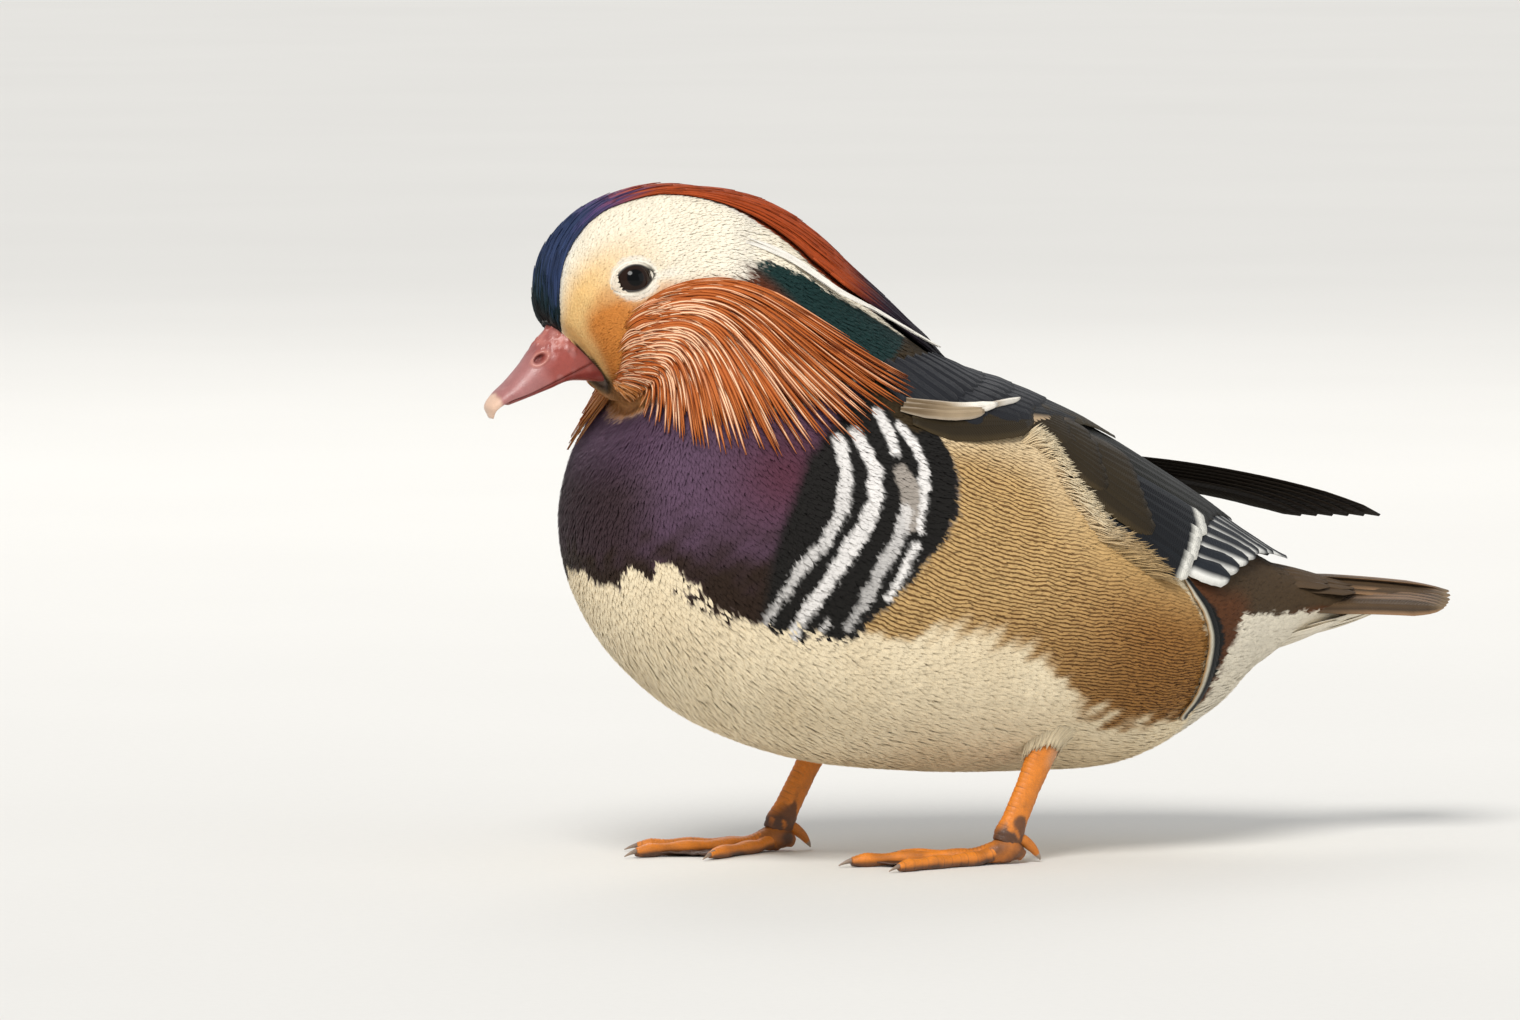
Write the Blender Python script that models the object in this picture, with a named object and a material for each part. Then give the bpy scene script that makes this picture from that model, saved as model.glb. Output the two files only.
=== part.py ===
"""Mandarin drake, standing in mid step, as a still life-size model.

The bird looks along -X and its left side is at -Y.  The floor is at z = 0 and the origin
is on it, in the middle of the model.  Lengths are in metres and angles in degrees.
"""

import math

import bmesh
import bpy
import numpy as np

# Driving sizes
GAP = 0.0003            # clearance between two nodes that meet
LAY = 0.0007            # clearance under what lies along the curved body
FLAT = .012             # faces that meet at a smaller angle, in radians, become one
LEFT = -1
RIGHT = 1

# The body is one ribbed form.  Each rib has a name, its point on the back and its point on
# the throat or belly (x, z), its half width, and how far the widest place sits above (+)
# or below (-) the middle.  A place on the body is then a rib number, which may have a
# fraction, and an angle round the rib, 0 on the back and 180 on the belly.
RIBS = (
    ("bill base", (-.1468, .1702), (-.1285, .1520), .0090, .00),
    ("lores", (-.1495, .1790), (-.1275, .1497), .0128, -.05),
    ("forehead", (-.1462, .1935), (-.1262, .1480), .0162, -.05),
    ("eyes", (-.1330, .2060), (-.1240, .1470), .0190, -.05),
    ("crown", (-.1110, .2120), (-.1215, .1460), .0215, -.10),
    ("nape", (-.0880, .2090), (-.1215, .1440), .0245, -.15),
    ("upper neck", (-.0660, .1985), (-.1270, .1380), .0300, -.20),
    ("neck", (-.0460, .1815), (-.1355, .1250), .0390, -.20),
    ("neck base", (-.0260, .1650), (-.1395, .1070), .0470, -.10),
    ("shoulders", (-.0090, .1540), (-.1355, .0860), .0530, .00),
    ("breast", (.0030, .1485), (-.1220, .0650), .0555, .00),
    ("breast bars", (.0130, .1440), (-.0985, .0460), .0565, .00),
    ("keel", (.0220, .1395), (-.0650, .0330), .0565, .00),
    ("middle", (.0320, .1340), (-.0270, .0275), .0555, .00),
    ("loins", (.0450, .1260), (.0120, .0260), .0530, .00),
    ("hips", (.0600, .1165), (.0450, .0275), .0470, .00),
    ("rump", (.0750, .1070), (.0720, .0390), .0380, .00),
    ("vent", (.0900, .0970), (.0920, .0540), .0270, .00),
    ("tail root", (.1060, .0885), (.1120, .0655), .0170, .00),
    ("tail coverts", (.1230, .0830), (.1290, .0690), .0110, .00),
)
HEAD_END = 5.0
NECK_END = 8.0
TORSO_END = 18.0
TAIL_END = 19.0

# Bill: points on the ridge and on the edge of the upper half (x, z), and the half width
BILL = (
    ((-.1520, .1650), (-.1420, .1567), .0085),
    ((-.1560, .1597), (-.1490, .1534), .0076),
    ((-.1610, .1542), (-.1560, .1502), .0068),
    ((-.1652, .1503), (-.1625, .1478), .0058),
    ((-.1679, .1466), (-.1660, .1451), .0042),
    ((-.1672, .1434), (-.1662, .1424), .0018),
)
BILL_LOWER = (
    ((-.1405, .1536), (-.1420, .1564), .0078),
    ((-.1485, .1510), (-.1490, .1531), .0069),
    ((-.1560, .1484), (-.1560, .1499), .0060),
    ((-.1612, .1465), (-.1615, .1478), .0046),
)
NOSTRIL = (-.1520, .1610)
NOSTRIL_SIZE = (.0016, .0011)

# Eyes
EYE_RIB = 3.3
EYE_ANGLE = 74.0
EYE_RADIUS = .0060
EYE_PROUD = .0019       # how far the ball stands out of the cheek
LID = .0009             # thickness of a lid
COARSE = 1.05           # a coarse ball is this much larger, so its flat faces clear
EYE_OPEN = (.0050, .0041)
EYE_SIDES = 16
EYE_RINGS = 8

# Feet: place of the joint under the shank (x, y), the way that the middle toe points, in
# degrees from straight ahead towards the other foot, and the shank from its top downwards
FEET = {
    LEFT: ((-.0060, -.0355), 10.0, (.0125, -.0335, .0450)),
    RIGHT: ((-.0550, .0320), 4.0, (-.0330, .0310, .0480)),
}
SHANK = (.0043, .0031)  # half depth and half width of the shank
TOES = (                # angle from the middle toe, length, half width
    (-26.0, .0440, .0023),
    (0.0, .0500, .0025),
    (28.0, .0370, .0022),
)
CLAW = .0065

COLOURS = {
    "head": (.86, .80, .66), "neck": (.35, .12, .05), "torso": (.55, .42, .24),
    "bill": (.55, .20, .20), "eye": (.01, .008, .006), "crest": (.30, .09, .04),
    "mane": (.72, .30, .10), "wing": (.05, .06, .08), "tail": (.16, .12, .10),
    "leg": (.82, .33, .05),
}


def material(name, roughness=.6):
    """A plain finish in the part's own colour."""
    made = bpy.data.materials.get(name)
    if made is None:
        made = bpy.data.materials.new(name)
        made.use_nodes = True
        shader = made.node_tree.nodes["Principled BSDF"]
        shader.inputs["Base Color"].default_value = (*COLOURS[name], 1)
        shader.inputs["Roughness"].default_value = roughness
        shader.inputs["Metallic"].default_value = 0
    return made


def collection(name):
    """A collection of that name in the scene."""
    made = bpy.data.collections.new(name)
    bpy.context.scene.collection.children.link(made)
    return made


def curve_at(rows, t):
    """Rows read at t from a smooth curve through them."""
    rows = np.asarray(rows, float)
    ends = np.vstack([2 * rows[0] - rows[1], rows, 2 * rows[-1] - rows[-2]])
    t = np.clip(np.asarray(t, float), 0, len(rows) - 1 - 1e-9)
    i = t.astype(int)
    f = (t - i)[..., None]
    a, b, c, d = ends[i], ends[i + 1], ends[i + 2], ends[i + 3]
    return .5 * (2 * b + (c - a) * f + (2 * a - 5 * b + 4 * c - d) * f ** 2
                 + (3 * b - a - 3 * c + d) * f ** 3)


def profile(points, t):
    """A value read at t from pairs (t, value)."""
    return np.interp(t, [p[0] for p in points], [p[1] for p in points])


RIB_ROWS = [(*rib[1], *rib[2], rib[3], rib[4]) for rib in RIBS]


def on_ribs(rib, angle, side=LEFT):
    """Points on the body, at ribs and angles."""
    row = curve_at(RIB_ROWS, rib)
    angle = np.radians(angle)
    middle = (row[..., 0:2] + row[..., 2:4]) / 2
    half = (row[..., 0:2] - row[..., 2:4]) / 2
    flat = middle + half * np.cos(angle)[..., None]
    across = row[..., 4] * np.sin(angle) * (1 + row[..., 5] * np.cos(angle))
    return np.stack([flat[..., 0], side * across, flat[..., 1]], -1)


def body_normal(rib, angle, side=LEFT):
    """Directions straight out of the body."""
    step = .02
    along = on_ribs(rib + step, angle, side) - on_ribs(rib - step, angle, side)
    around = on_ribs(rib, angle + 1, side) - on_ribs(rib, angle - 1, side)
    out = np.cross(along, around) * side
    return out / np.linalg.norm(out, axis=-1, keepdims=True)


def on_body(rib, angle, lift, side=LEFT):
    """Points lifted off the body."""
    rib, angle, lift = np.broadcast_arrays(*(np.asarray(v, float) for v in (rib, angle, lift)))
    return on_ribs(rib, angle, side) + body_normal(rib, angle, side) * lift[..., None]


def solid(name, points, faces, finish, home):
    """A mesh object with its faces pointing out."""
    mesh = bpy.data.meshes.new(name)
    mesh.from_pydata([tuple(p) for p in np.reshape(points, (-1, 3))], [], faces)
    work = bmesh.new()
    work.from_mesh(mesh)
    bmesh.ops.recalc_face_normals(work, faces=work.faces)
    work.to_mesh(mesh)
    work.free()
    mesh.materials.append(material(finish))
    made = bpy.data.objects.new(name, mesh)
    home.objects.link(made)
    return made


def tube(name, rings, finish, home):
    """A closed tube through rings of points, with flat ends."""
    count, around = rings.shape[:2]
    faces = []
    for i in range(count - 1):
        for j in range(around):
            a, b = i * around + j, i * around + (j + 1) % around
            faces += [(a, b, b + around), (a, b + around, a + around)]
    faces.append(tuple(range(around)))
    faces.append(tuple(range((count - 1) * around, count * around)))
    return solid(name, rings, faces, finish, home)


def slab(name, top, bottom, finish, home):
    """A closed plate between two grids of points, split alike on both faces."""
    rows, cols = top.shape[:2]
    under = rows * cols
    faces = []
    for i in range(rows - 1):
        for j in range(cols - 1):
            a = i * cols + j
            for t in ((a, a + 1, a + cols + 1), (a, a + cols + 1, a + cols)):
                faces += [t, tuple(v + under for v in reversed(t))]
    rim = [j for j in range(cols)]
    rim += [i * cols + cols - 1 for i in range(1, rows)]
    rim += [(rows - 1) * cols + j for j in range(cols - 2, -1, -1)]
    rim += [i * cols for i in range(rows - 2, 0, -1)]
    for a, b in zip(rim, rim[1:] + rim[:1]):
        faces += [(a, a + under, b + under), (a, b + under, b)]
    return solid(name, np.concatenate([top.reshape(-1, 3), bottom.reshape(-1, 3)]), faces,
                 finish, home)


def evaluated(made):
    """The object's mesh with its modifiers applied."""
    graph = bpy.context.evaluated_depsgraph_get()
    graph.update()
    mesh = bpy.data.meshes.new_from_object(made.evaluated_get(graph))
    made.modifiers.clear()
    made.data = mesh


def keep_largest(made):
    """Only the object's largest closed surface stays."""
    work = bmesh.new()
    work.from_mesh(made.data)
    left = set(work.verts)
    groups = []
    while left:
        group = {left.pop()}
        edge = list(group)
        while edge:
            near = {e.other_vert(v) for v in edge for e in v.link_edges} - group
            group |= near
            edge = list(near)
        left -= group
        groups.append(group)
    groups.sort(key=len)
    for group in groups[:-1]:
        bmesh.ops.delete(work, geom=list(group), context="VERTS")
    bmesh.ops.dissolve_limit(work, angle_limit=FLAT, verts=work.verts, edges=work.edges)
    bmesh.ops.triangulate(work, faces=work.faces)
    work.to_mesh(made.data)
    work.free()


def join(base, pieces, solver="MANIFOLD"):
    """One closed body from a base and the pieces rooted in it."""
    if pieces:
        group = collection(base.name + " pieces")
        for piece in pieces:
            for home in piece.users_collection:
                home.objects.unlink(piece)
            group.objects.link(piece)
        union = base.modifiers.new("union", "BOOLEAN")
        union.operation = "UNION"
        union.operand_type = "COLLECTION"
        union.collection = group
        union.solver = solver
        evaluated(base)
        for piece in pieces:
            bpy.data.objects.remove(piece)
        bpy.data.collections.remove(group)
    keep_largest(base)
    return base


def cut(base, cutter, solver="EXACT"):
    """The base without the space of the cutter."""
    cutter.hide_render = True
    cutter.display_type = "WIRE"
    difference = base.modifiers.new("cut", "BOOLEAN")
    difference.operation = "DIFFERENCE"
    difference.object = cutter
    difference.solver = solver
    evaluated(base)
    bpy.data.objects.remove(cutter)
    keep_largest(base)


def rib_ring(rib, around, shift=0.0):
    """One ring round the body, moved along the rib's own axis by shift."""
    angle = np.arange(around) * 360.0 / around
    ring = on_ribs(np.full(around, rib), angle)
    axis = np.cross(ring[around // 4] - ring[0], ring[around // 2] - ring[0])
    axis /= np.linalg.norm(axis)
    ahead = on_ribs(np.array([rib + .1]), np.array([90.0]))[0] - ring[around // 4]
    return ring + axis * np.sign(axis @ ahead) * shift


def body_length(name, start, end, steps, around, finish, home):
    """A length of the body, cut half a gap short at both ends."""
    ribs = np.linspace(start, end, steps + 1)
    rings = [rib_ring(rib, around) for rib in ribs]
    rings[0] = rib_ring(start, around, GAP / 2)
    rings[-1] = rib_ring(end, around, -GAP / 2)
    return tube(name, np.array(rings), finish, home)


def ball(name, centre, radius, finish, home, detail=4):
    """A sphere of triangles."""
    mesh = bpy.data.meshes.new(name)
    work = bmesh.new()
    bmesh.ops.create_icosphere(work, subdivisions=detail, radius=radius)
    bmesh.ops.translate(work, verts=work.verts, vec=centre)
    work.to_mesh(mesh)
    work.free()
    mesh.materials.append(material(finish))
    made = bpy.data.objects.new(name, mesh)
    home.objects.link(made)
    return made


def eye_frame(side):
    """Centre of an eye, its outward axis, and its long and short directions."""
    rib, angle = np.array([EYE_RIB]), np.array([EYE_ANGLE])
    skin = on_ribs(rib, angle, side)[0]
    out = body_normal(rib, angle, side)[0]
    centre = skin - out * (EYE_RADIUS - EYE_PROUD)
    along = np.array([1, 0, .22])
    along -= out * (along @ out)
    along /= np.linalg.norm(along)
    return centre, out, along, np.cross(out, along)


def eyeball(name, side, home):
    """One eye, with its rings round the outward axis."""
    centre, out, along, up = eye_frame(side)
    turn = np.radians(np.arange(EYE_SIDES) * 360.0 / EYE_SIDES)
    rings = []
    for lean in np.radians(np.linspace(8, 172, EYE_RINGS)):
        wide = np.cos(turn)[:, None] * along + np.sin(turn)[:, None] * up
        rings.append(centre + EYE_RADIUS * (out * np.cos(lean) + wide * np.sin(lean)))
    return tube(name, np.array(rings), "eye", home)


def eye_opening(side, home):
    """Cutter for the space between the lids."""
    centre, out, along, up = eye_frame(side)
    turn = np.radians(np.arange(16) * 22.5)
    rings = []
    for reach, wide in ((EYE_RADIUS * .45, .8), (EYE_RADIUS * 2.0, 1.15)):
        oval = (np.cos(turn)[:, None] * along * EYE_OPEN[0]
                + np.sin(turn)[:, None] * up * EYE_OPEN[1])
        rings.append(centre + out * reach + oval * wide)
    return tube("eye opening", np.array(rings), "eye", home)


def add_head(home, tools):
    """Head with lids round two sockets, and the eyes in them."""
    head = body_length("head", 0, HEAD_END, 10, 34, "head", home)
    socket = (EYE_RADIUS + GAP) * COARSE
    lid_ball = (EYE_RADIUS + GAP + LID) * COARSE
    lids = []
    for side in (LEFT, RIGHT):
        lids.append(ball("lids", eye_frame(side)[0], lid_ball, "head", tools, 2))
    join(head, lids, "MANIFOLD")
    for side, word in ((LEFT, "left"), (RIGHT, "right")):
        centre = eye_frame(side)[0]
        cut(head, eye_opening(side, tools), "MANIFOLD")
        cut(head, ball("socket", centre, socket, "head", tools, 2), "MANIFOLD")
        eyeball("eye_" + word, side, home)


def bill_ring(ridge, edge, half_width, count=13):
    """Half an oval from one edge of the bill over its ridge to the other."""
    turn = np.radians(np.linspace(-90, 90, count))
    rise = np.asarray(ridge) - np.asarray(edge)
    flat = np.asarray(edge) + rise * np.cos(turn)[:, None] ** .8
    return np.stack([flat[:, 0], half_width * np.sin(turn), flat[:, 1]], -1)


def bill_base(share_a, share_b, half_width):
    """The ring that faces the head, between two shares of the head's front."""
    back, throat = np.array(RIBS[0][1]), np.array(RIBS[0][2])
    down = throat - back
    ahead = np.array([down[1], -down[0]]) / np.linalg.norm(down)
    shift = ahead * GAP * 1.5
    return bill_ring(back + down * share_a + shift, back + down * share_b + shift, half_width)


def add_bill(home, tools):
    """Both halves of the bill, with the line of the mouth between them."""
    upper = [bill_base(.04, .60, .0088)]
    upper += [bill_ring(*row) for row in BILL]
    made = tube("bill_upper", np.array(upper), "bill", home)
    for side in (LEFT, RIGHT):
        cutter = ball("nostril", (0, 0, 0), 1, "bill", tools, 2)
        cutter.data.transform(nostril_place(side))
        cut(made, cutter)
    lower = [bill_base(.94, .63, .0082)]
    lower += [bill_ring(*row) for row in BILL_LOWER]
    tube("bill_lower", np.array(lower), "bill", home)


def nostril_place(side):
    """Where a nostril's cutter goes."""
    from mathutils import Matrix
    long_way, short_way = NOSTRIL_SIZE
    size = Matrix.Diagonal((long_way, .0016, short_way, 1))
    turn = Matrix.Rotation(math.radians(45), 4, "Y")
    return Matrix.Translation((NOSTRIL[0], side * .0068, NOSTRIL[1])) @ turn @ size


def body_plate(name, ribs, angles, lift, finish, home, side=LEFT, under=LAY):
    """A plate along the body, between its clearance and a lift."""
    top = on_body(ribs, angles, lift, side)
    bottom = on_body(ribs, angles, np.full_like(lift, under), side)
    return slab(name, top, bottom, finish, home)


# Crest: half of its spread in degrees, and the depth of its cap, from rib to rib.  Its long
# locks lie in layers: rib of the roots and of the tips, lift at both, and how many abreast.
CREST_SPREAD = ((.4, 40), (1, 46), (1.6, 36), (3.2, 16), (4, 15), (5.5, 22), (6.2, 27))
CREST_DEPTH = ((.5, .0013), (1.2, .0022), (2.3, .0030), (4.6, .0034), (5.4, .0030),
               (6.5, .0013))
CREST_LAYERS = (
    (5.2, 8.70, .0018, .0026, 4),
    (4.7, 8.05, .0029, .0046, 3),
    (4.1, 7.20, .0029, .0066, 2),
)
LOCK_THICK = .0006
LEAST = .00015          # a lock's root stays this far above the underside of its core


def vary(i, k=0):
    """A repeatable uneven value from -1 to 1."""
    return math.sin(12.9898 * i + 78.233 * k + 1.7)


def steps_aside(rib, angle, side):
    """How far rib and angle change for each metre across a path, towards the back."""
    by_rib = (on_ribs(rib + .02, angle, side) - on_ribs(rib - .02, angle, side)) / .04
    by_angle = (on_ribs(rib, angle + 1, side) - on_ribs(rib, angle - 1, side)) / 2
    path = np.gradient(on_ribs(rib, angle, side), axis=0)
    path /= np.linalg.norm(path, axis=1, keepdims=True)
    across = np.cross(body_normal(rib, angle, side), path) * -side
    rr = (by_rib * by_rib).sum(1)
    ra = (by_rib * by_angle).sum(1)
    aa = (by_angle * by_angle).sum(1)
    br = (across * by_rib).sum(1)
    ba = (across * by_angle).sum(1)
    det = rr * aa - ra * ra
    return (br * aa - ba * ra) / det, (ba * rr - br * ra) / det


def body_vane(root, tip, halves, lifts, home, side=LEFT, thick=LOCK_THICK, stations=6,
              across=2, bow=0.0, finish="mane", ground=None):
    """A flat tapered feather laid along the body from a root to a tip, as (rib, angle).

    halves and lifts are pairs (share of the length, value), and lifts are over the ground,
    a function of rib and angle, where there is one.
    """
    t = np.linspace(0, 1, stations)
    rib = root[0] + (tip[0] - root[0]) * t
    angle = root[1] + (tip[1] - root[1]) * t + bow * np.sin(np.pi * t)
    per_rib, per_angle = steps_aside(rib, angle, side)
    reach = profile(halves, t)[:, None] * np.linspace(-1, 1, across)
    ribs = rib[:, None] + per_rib[:, None] * reach
    angles = angle[:, None] + per_angle[:, None] * reach
    lift = profile(lifts, t)[:, None] + (ground(ribs, angles) if ground else 0 * reach)
    lift = np.maximum(lift, LAY + 3 * LEAST + thick)
    top = on_body(ribs, angles, lift, side)
    return slab("vane", top, on_body(ribs, angles, lift - thick, side), finish, home)


def add_crest(home, tools):
    """Crest: a sleek cap, and layers of long locks down the nape to the tip."""
    rib, share = np.meshgrid(np.linspace(.5, 6.5, 13), np.linspace(-1, 1, 6), indexing="ij")
    depth = profile(CREST_DEPTH, rib) * (1 - .70 * np.abs(share) ** 2.5)
    lift = LAY + np.maximum(depth - LAY, .0005)
    cap = body_plate("crest", rib, profile(CREST_SPREAD, rib) * share, lift, "crest", home)
    locks = []
    for layer, (start, end, low, high, count) in enumerate(CREST_LAYERS):
        for i in range(count):
            place = (i - (count - 1) / 2) / (count / 2)
            step = .0009 * (i % 2)
            locks.append(body_vane(
                (start - .2 * (i % 2), place * 15), (end - .3 * abs(place), place * 9),
                ((0, .0022), (.35, .0034), (.75, .0026), (1, .0004)),
                ((0, low - step), (.45, (low + high) / 2 + .0008 - step),
                 (.8, high + .0002 - step), (1, high - .0012 - step)),
                tools, thick=.0008, finish="crest"))
    join(cap, locks)


# Mane: the line of its roots on the cheek and the line of its tips, as (rib, angle), both
# from the top down to the throat
MANE_ROOTS = ((4.65, 77), (4.05, 87), (3.7, 98), (3.45, 109), (3.1, 121), (2.5, 136),
              (1.9, 144))
MANE_TIPS = ((8.4, 43), (8.45, 53), (8.5, 66), (8.4, 77), (8.2, 91), (7.95, 102),
             (7.55, 112), (7.3, 120), (6.75, 132), (5.75, 150), (3.9, 160))
MANE_CORE = .46         # share of the way to the tips that the core reaches
# Layers of locks, lowest first: how many, the shares of the way at which they start and
# end, their lift over the body, and their half width
MANE_LAYERS = (
    (12, .30, 1.0, ((0, .0013), (.3, .0026), (.75, .0027), (1, .0021)), .0046),
    (7, .10, .72, ((0, .0012), (.3, .0038), (.75, .0046), (1, .0040)), .0042),
)
UNDERLAP = .0009        # how much lower every second feather of a row lies


def mane_place(down, out):
    """Rib and angle at a share down the cheek and a share out to the tips."""
    root = curve_at(MANE_ROOTS, down * (len(MANE_ROOTS) - 1))
    tip = curve_at(MANE_TIPS, down * (len(MANE_TIPS) - 1))
    place = root + (tip - root) * np.asarray(out)[..., None]
    return place[..., 0], place[..., 1]


def add_mane(side, word, home, tools):
    """Mane of one side: a core on the cheek, and two layers of pointed locks."""
    down, out = np.meshgrid(np.linspace(0, 1, 8), np.linspace(0, MANE_CORE, 4),
                            indexing="ij")
    rib, angle = mane_place(down, out)
    share = out / MANE_CORE
    swell = .0005 + .0016 * np.sin(np.pi * share ** .8) * (.4 + .6 * np.sin(np.pi * down))
    core = body_plate("mane_" + word, rib, angle, LAY + swell, "mane", home, side)
    locks = []
    for layer, (count, start, end, lifts, half) in enumerate(MANE_LAYERS):
        for i in range(count):
            down = (i + .3 + .4 * layer) / count
            last = end + .03 * vary(i, layer)
            root = mane_place(np.array([down]), np.array([start]))
            tip = mane_place(np.array([min(down * 1.01, 1)]), np.array([last]))
            small = .55 + .45 * math.sin(math.pi * min(.15 + down * .8, 1))
            halves = ((0, .30 * half), (.45, .95 * half), (.75, half), (1, .10 * half))
            under = UNDERLAP * (i % 2)
            locks.append(body_vane(
                (root[0][0], root[1][0]), (tip[0][0], tip[1][0]),
                [(t, h * small) for t, h in halves], [(t, h - under * .9) for t, h in lifts],
                tools, side, bow=-2.5 * math.sin(math.pi * down), stations=6 - layer))
    join(core, locks)


# Wing: the angle of its upper and lower edges, and its depth along the back, from rib to
# rib.  Its feathers lie in tiers like tiles, the lowest first: how many, the roots of the
# first and the last, their tips, half width, and how blunt they are.
WING_LOW = ((9.0, 46), (9.6, 44), (11.2, 38), (12.6, 47), (13.5, 59), (14.5, 68),
            (15.2, 67), (16.0, 58))
WING_TOP = 5.0
WING_DEPTH = ((9.1, .0014), (10, .0026), (13.6, .0042), (15, .0044), (17, .0042),
              (18, .0036))
WING_CORE = (9.0, 16.0)
WING_TIERS = (
    (5, (15.0, 16), (14.7, 56), (17.9, 19), (16.3, 54), .0047, .20),
    (3, (13.0, 36), (13.3, 54), (15.35, 43), (14.85, 64), .0075, .50),
    (3, (12.7, 12), (12.9, 32), (16.5, 12), (15.6, 34), .0074, .35),
    (3, (10.5, 28), (11.7, 43), (12.7, 32), (13.4, 54), .0082, .55),
    (3, (9.8, 12), (9.5, 36), (13.5, 10.5), (11.3, 33), .0080, .35),
)
VANE_LIFTS = ((0, -.0009), (.35, .0005), (.75, .0012), (1, .0012))
FAR_TIP = (.1480, .0090, .1050)
FAR_QUILLS = 3


def wing_depth(rib, angle):
    """Lift of the wing's ground over the body."""
    low = profile(((9.1, .30), (13.4, .40), (15.5, .75), (18, .85)), rib)
    share = np.clip((angle - WING_TOP) / 55, 0, 1)
    return LAY + profile(WING_DEPTH, rib) * (1 - (1 - low) * share) - .0007


def add_wing(side, word, home, tools):
    """Folded wing: a core along the back, and its feathers in overlapping tiers."""
    rib, share = np.meshgrid(np.linspace(*WING_CORE, 15), np.linspace(0, 1, 5), indexing="ij")
    angle = WING_TOP + (profile(WING_LOW, rib) - WING_TOP) * share
    taper = profile(((9.0, .5), (9.8, 1), (14.2, 1), (16.0, .2)), rib)
    under = LAY + 3 * LEAST
    lift = under + np.maximum((wing_depth(rib, angle) - LAY) * taper, .0005)
    wing = body_plate("wing_" + word, rib, angle, lift, "wing", home, side, under)
    vanes = []
    for tier, (count, first, last, first_tip, last_tip, half, blunt) in enumerate(WING_TIERS):
        for i in range(count):
            down = i / (count - 1)
            root = [first[k] + (last[k] - first[k]) * down for k in (0, 1)]
            tip = [first_tip[k] + (last_tip[k] - first_tip[k]) * down for k in (0, 1)]
            tip[0] += .06 * vary(i, tier)
            halves = ((0, .5 * half), (.3, half), (.8, .92 * half), (1, blunt * half))
            under = UNDERLAP * (i % 2)
            vanes.append(body_vane(
                root, tip, halves, [(t, h - under) for t, h in VANE_LIFTS], tools, side,
                across=3, finish="wing", ground=wing_depth))
    if side == RIGHT:
        vanes += far_quills(tools)
    join(wing, vanes)


def free_vane(root, tip, up, halves, bow, thick, home, stations=6, finish="wing"):
    """A flat tapered feather from a root to a tip, bowed towards up."""
    root, tip, up = (np.asarray(v, float) for v in (root, tip, up))
    along = (tip - root) / np.linalg.norm(tip - root)
    across = np.cross(up, along)
    across /= np.linalg.norm(across)
    out = np.cross(along, across)
    t = np.linspace(0, 1, stations)
    middle = root + (tip - root) * t[:, None] + out * (bow * np.sin(np.pi * t))[:, None]
    half = profile(halves, t)[:, None] * np.linspace(-1, 1, 2)
    top = middle[:, None] + across * half[..., None]
    return slab("vane", top, top - out * thick, finish, home)


def far_quills(tools):
    """The long outer quills of the right wing, held out past the body."""
    vanes = []
    out = body_normal(np.array([16.0]), np.array([24.0]), RIGHT)[0] + np.array([0, .25, 0])
    for i in range(FAR_QUILLS):
        root = on_body(14.2, 20.0 + 7 * i, .0038 - .0009 * i, RIGHT)
        tip = np.array(FAR_TIP) - np.array([.0120, -.0026, .0021]) * i
        vanes.append(free_vane(root, tip, out,
                               ((0, .0030), (.3, .0052), (.8, .0048), (1, .0010)),
                               .0050, .0007, tools))
    return vanes


# Tail: its quills fan from the base to their tips, the middle pair uppermost
TAIL_TIP = (.1675, .0785)
TAIL_ROOT = (.1120, .0818)
TAIL_SIDE = 6           # quills on each side
TAIL_STEP = .0009       # from one quill's level to the next
TAIL_FAN = .0040        # from one tip to the next, sideways
COVERTS = 5             # locks under the tail


def add_tail(home, tools):
    """Tail base with its quills as vanes, and the coverts under them as locks."""
    tail = body_length("tail", TORSO_END, TAIL_END, 3, 24, "tail", home)
    pieces = []
    for side in (LEFT, RIGHT):
        for i in range(TAIL_SIDE):
            level = TAIL_STEP * (i + (0 if i == 0 and side == LEFT else 1))
            tip = (TAIL_TIP[0] - .0016 * i ** 1.25, side * (.0018 + TAIL_FAN * i),
                   TAIL_TIP[1] - level)
            root = (TAIL_ROOT[0], side * (.0010 + .0012 * i), TAIL_ROOT[1] - .7 * level)
            pieces.append(free_vane(
                root, tip, (0, side * .05 * i, 1),
                ((0, .0022), (.3, .0040), (.85, .0044), (.96, .0028), (1, .0007)),
                .0008, .00055, tools, 5, "tail"))
    for i in range(COVERTS):
        place = i - (COVERTS - 1) / 2
        root = (.1150, place * .0030, .0712 + .0006 * abs(place))
        tip = (.1420 - .0035 * abs(place), place * .0036, .0716 - .0003 * abs(place))
        pieces.append(free_vane(
            root, tip, (0, -.1 * place, -1),
            ((0, .0026), (.4, .0034), (.8, .0024), (1, .0005)), .0016, .0010, tools, 5,
            "tail"))
    join(tail, pieces)


def round_tube(name, path, halves, finish, home, around=12, up=(0, 0, 1)):
    """A tube of oval section along a path; halves are (depth, width) at each point."""
    path = np.asarray(path, float)
    along = np.gradient(path, axis=0)
    along /= np.linalg.norm(along, axis=1, keepdims=True)
    across = np.cross(along, np.asarray(up, float))
    across /= np.linalg.norm(across, axis=1, keepdims=True)
    rise = np.cross(across, along)
    turn = np.radians(np.arange(around) * 360.0 / around)
    halves = np.asarray(halves, float)
    rings = (path[:, None] + rise[:, None] * (np.cos(turn) * halves[:, :1])[..., None]
             + across[:, None] * (np.sin(turn) * halves[:, 1:])[..., None])
    return tube(name, rings, finish, home)


def shank_path(side):
    """The line of a shank, from inside the belly down to the foot."""
    (x, y), _turn, top = FEET[side]
    foot = np.array([x, y, .0065])
    top = np.array(top)
    t = np.linspace(0, 1, 7)[:, None]
    return top + (foot - top) * t


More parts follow.
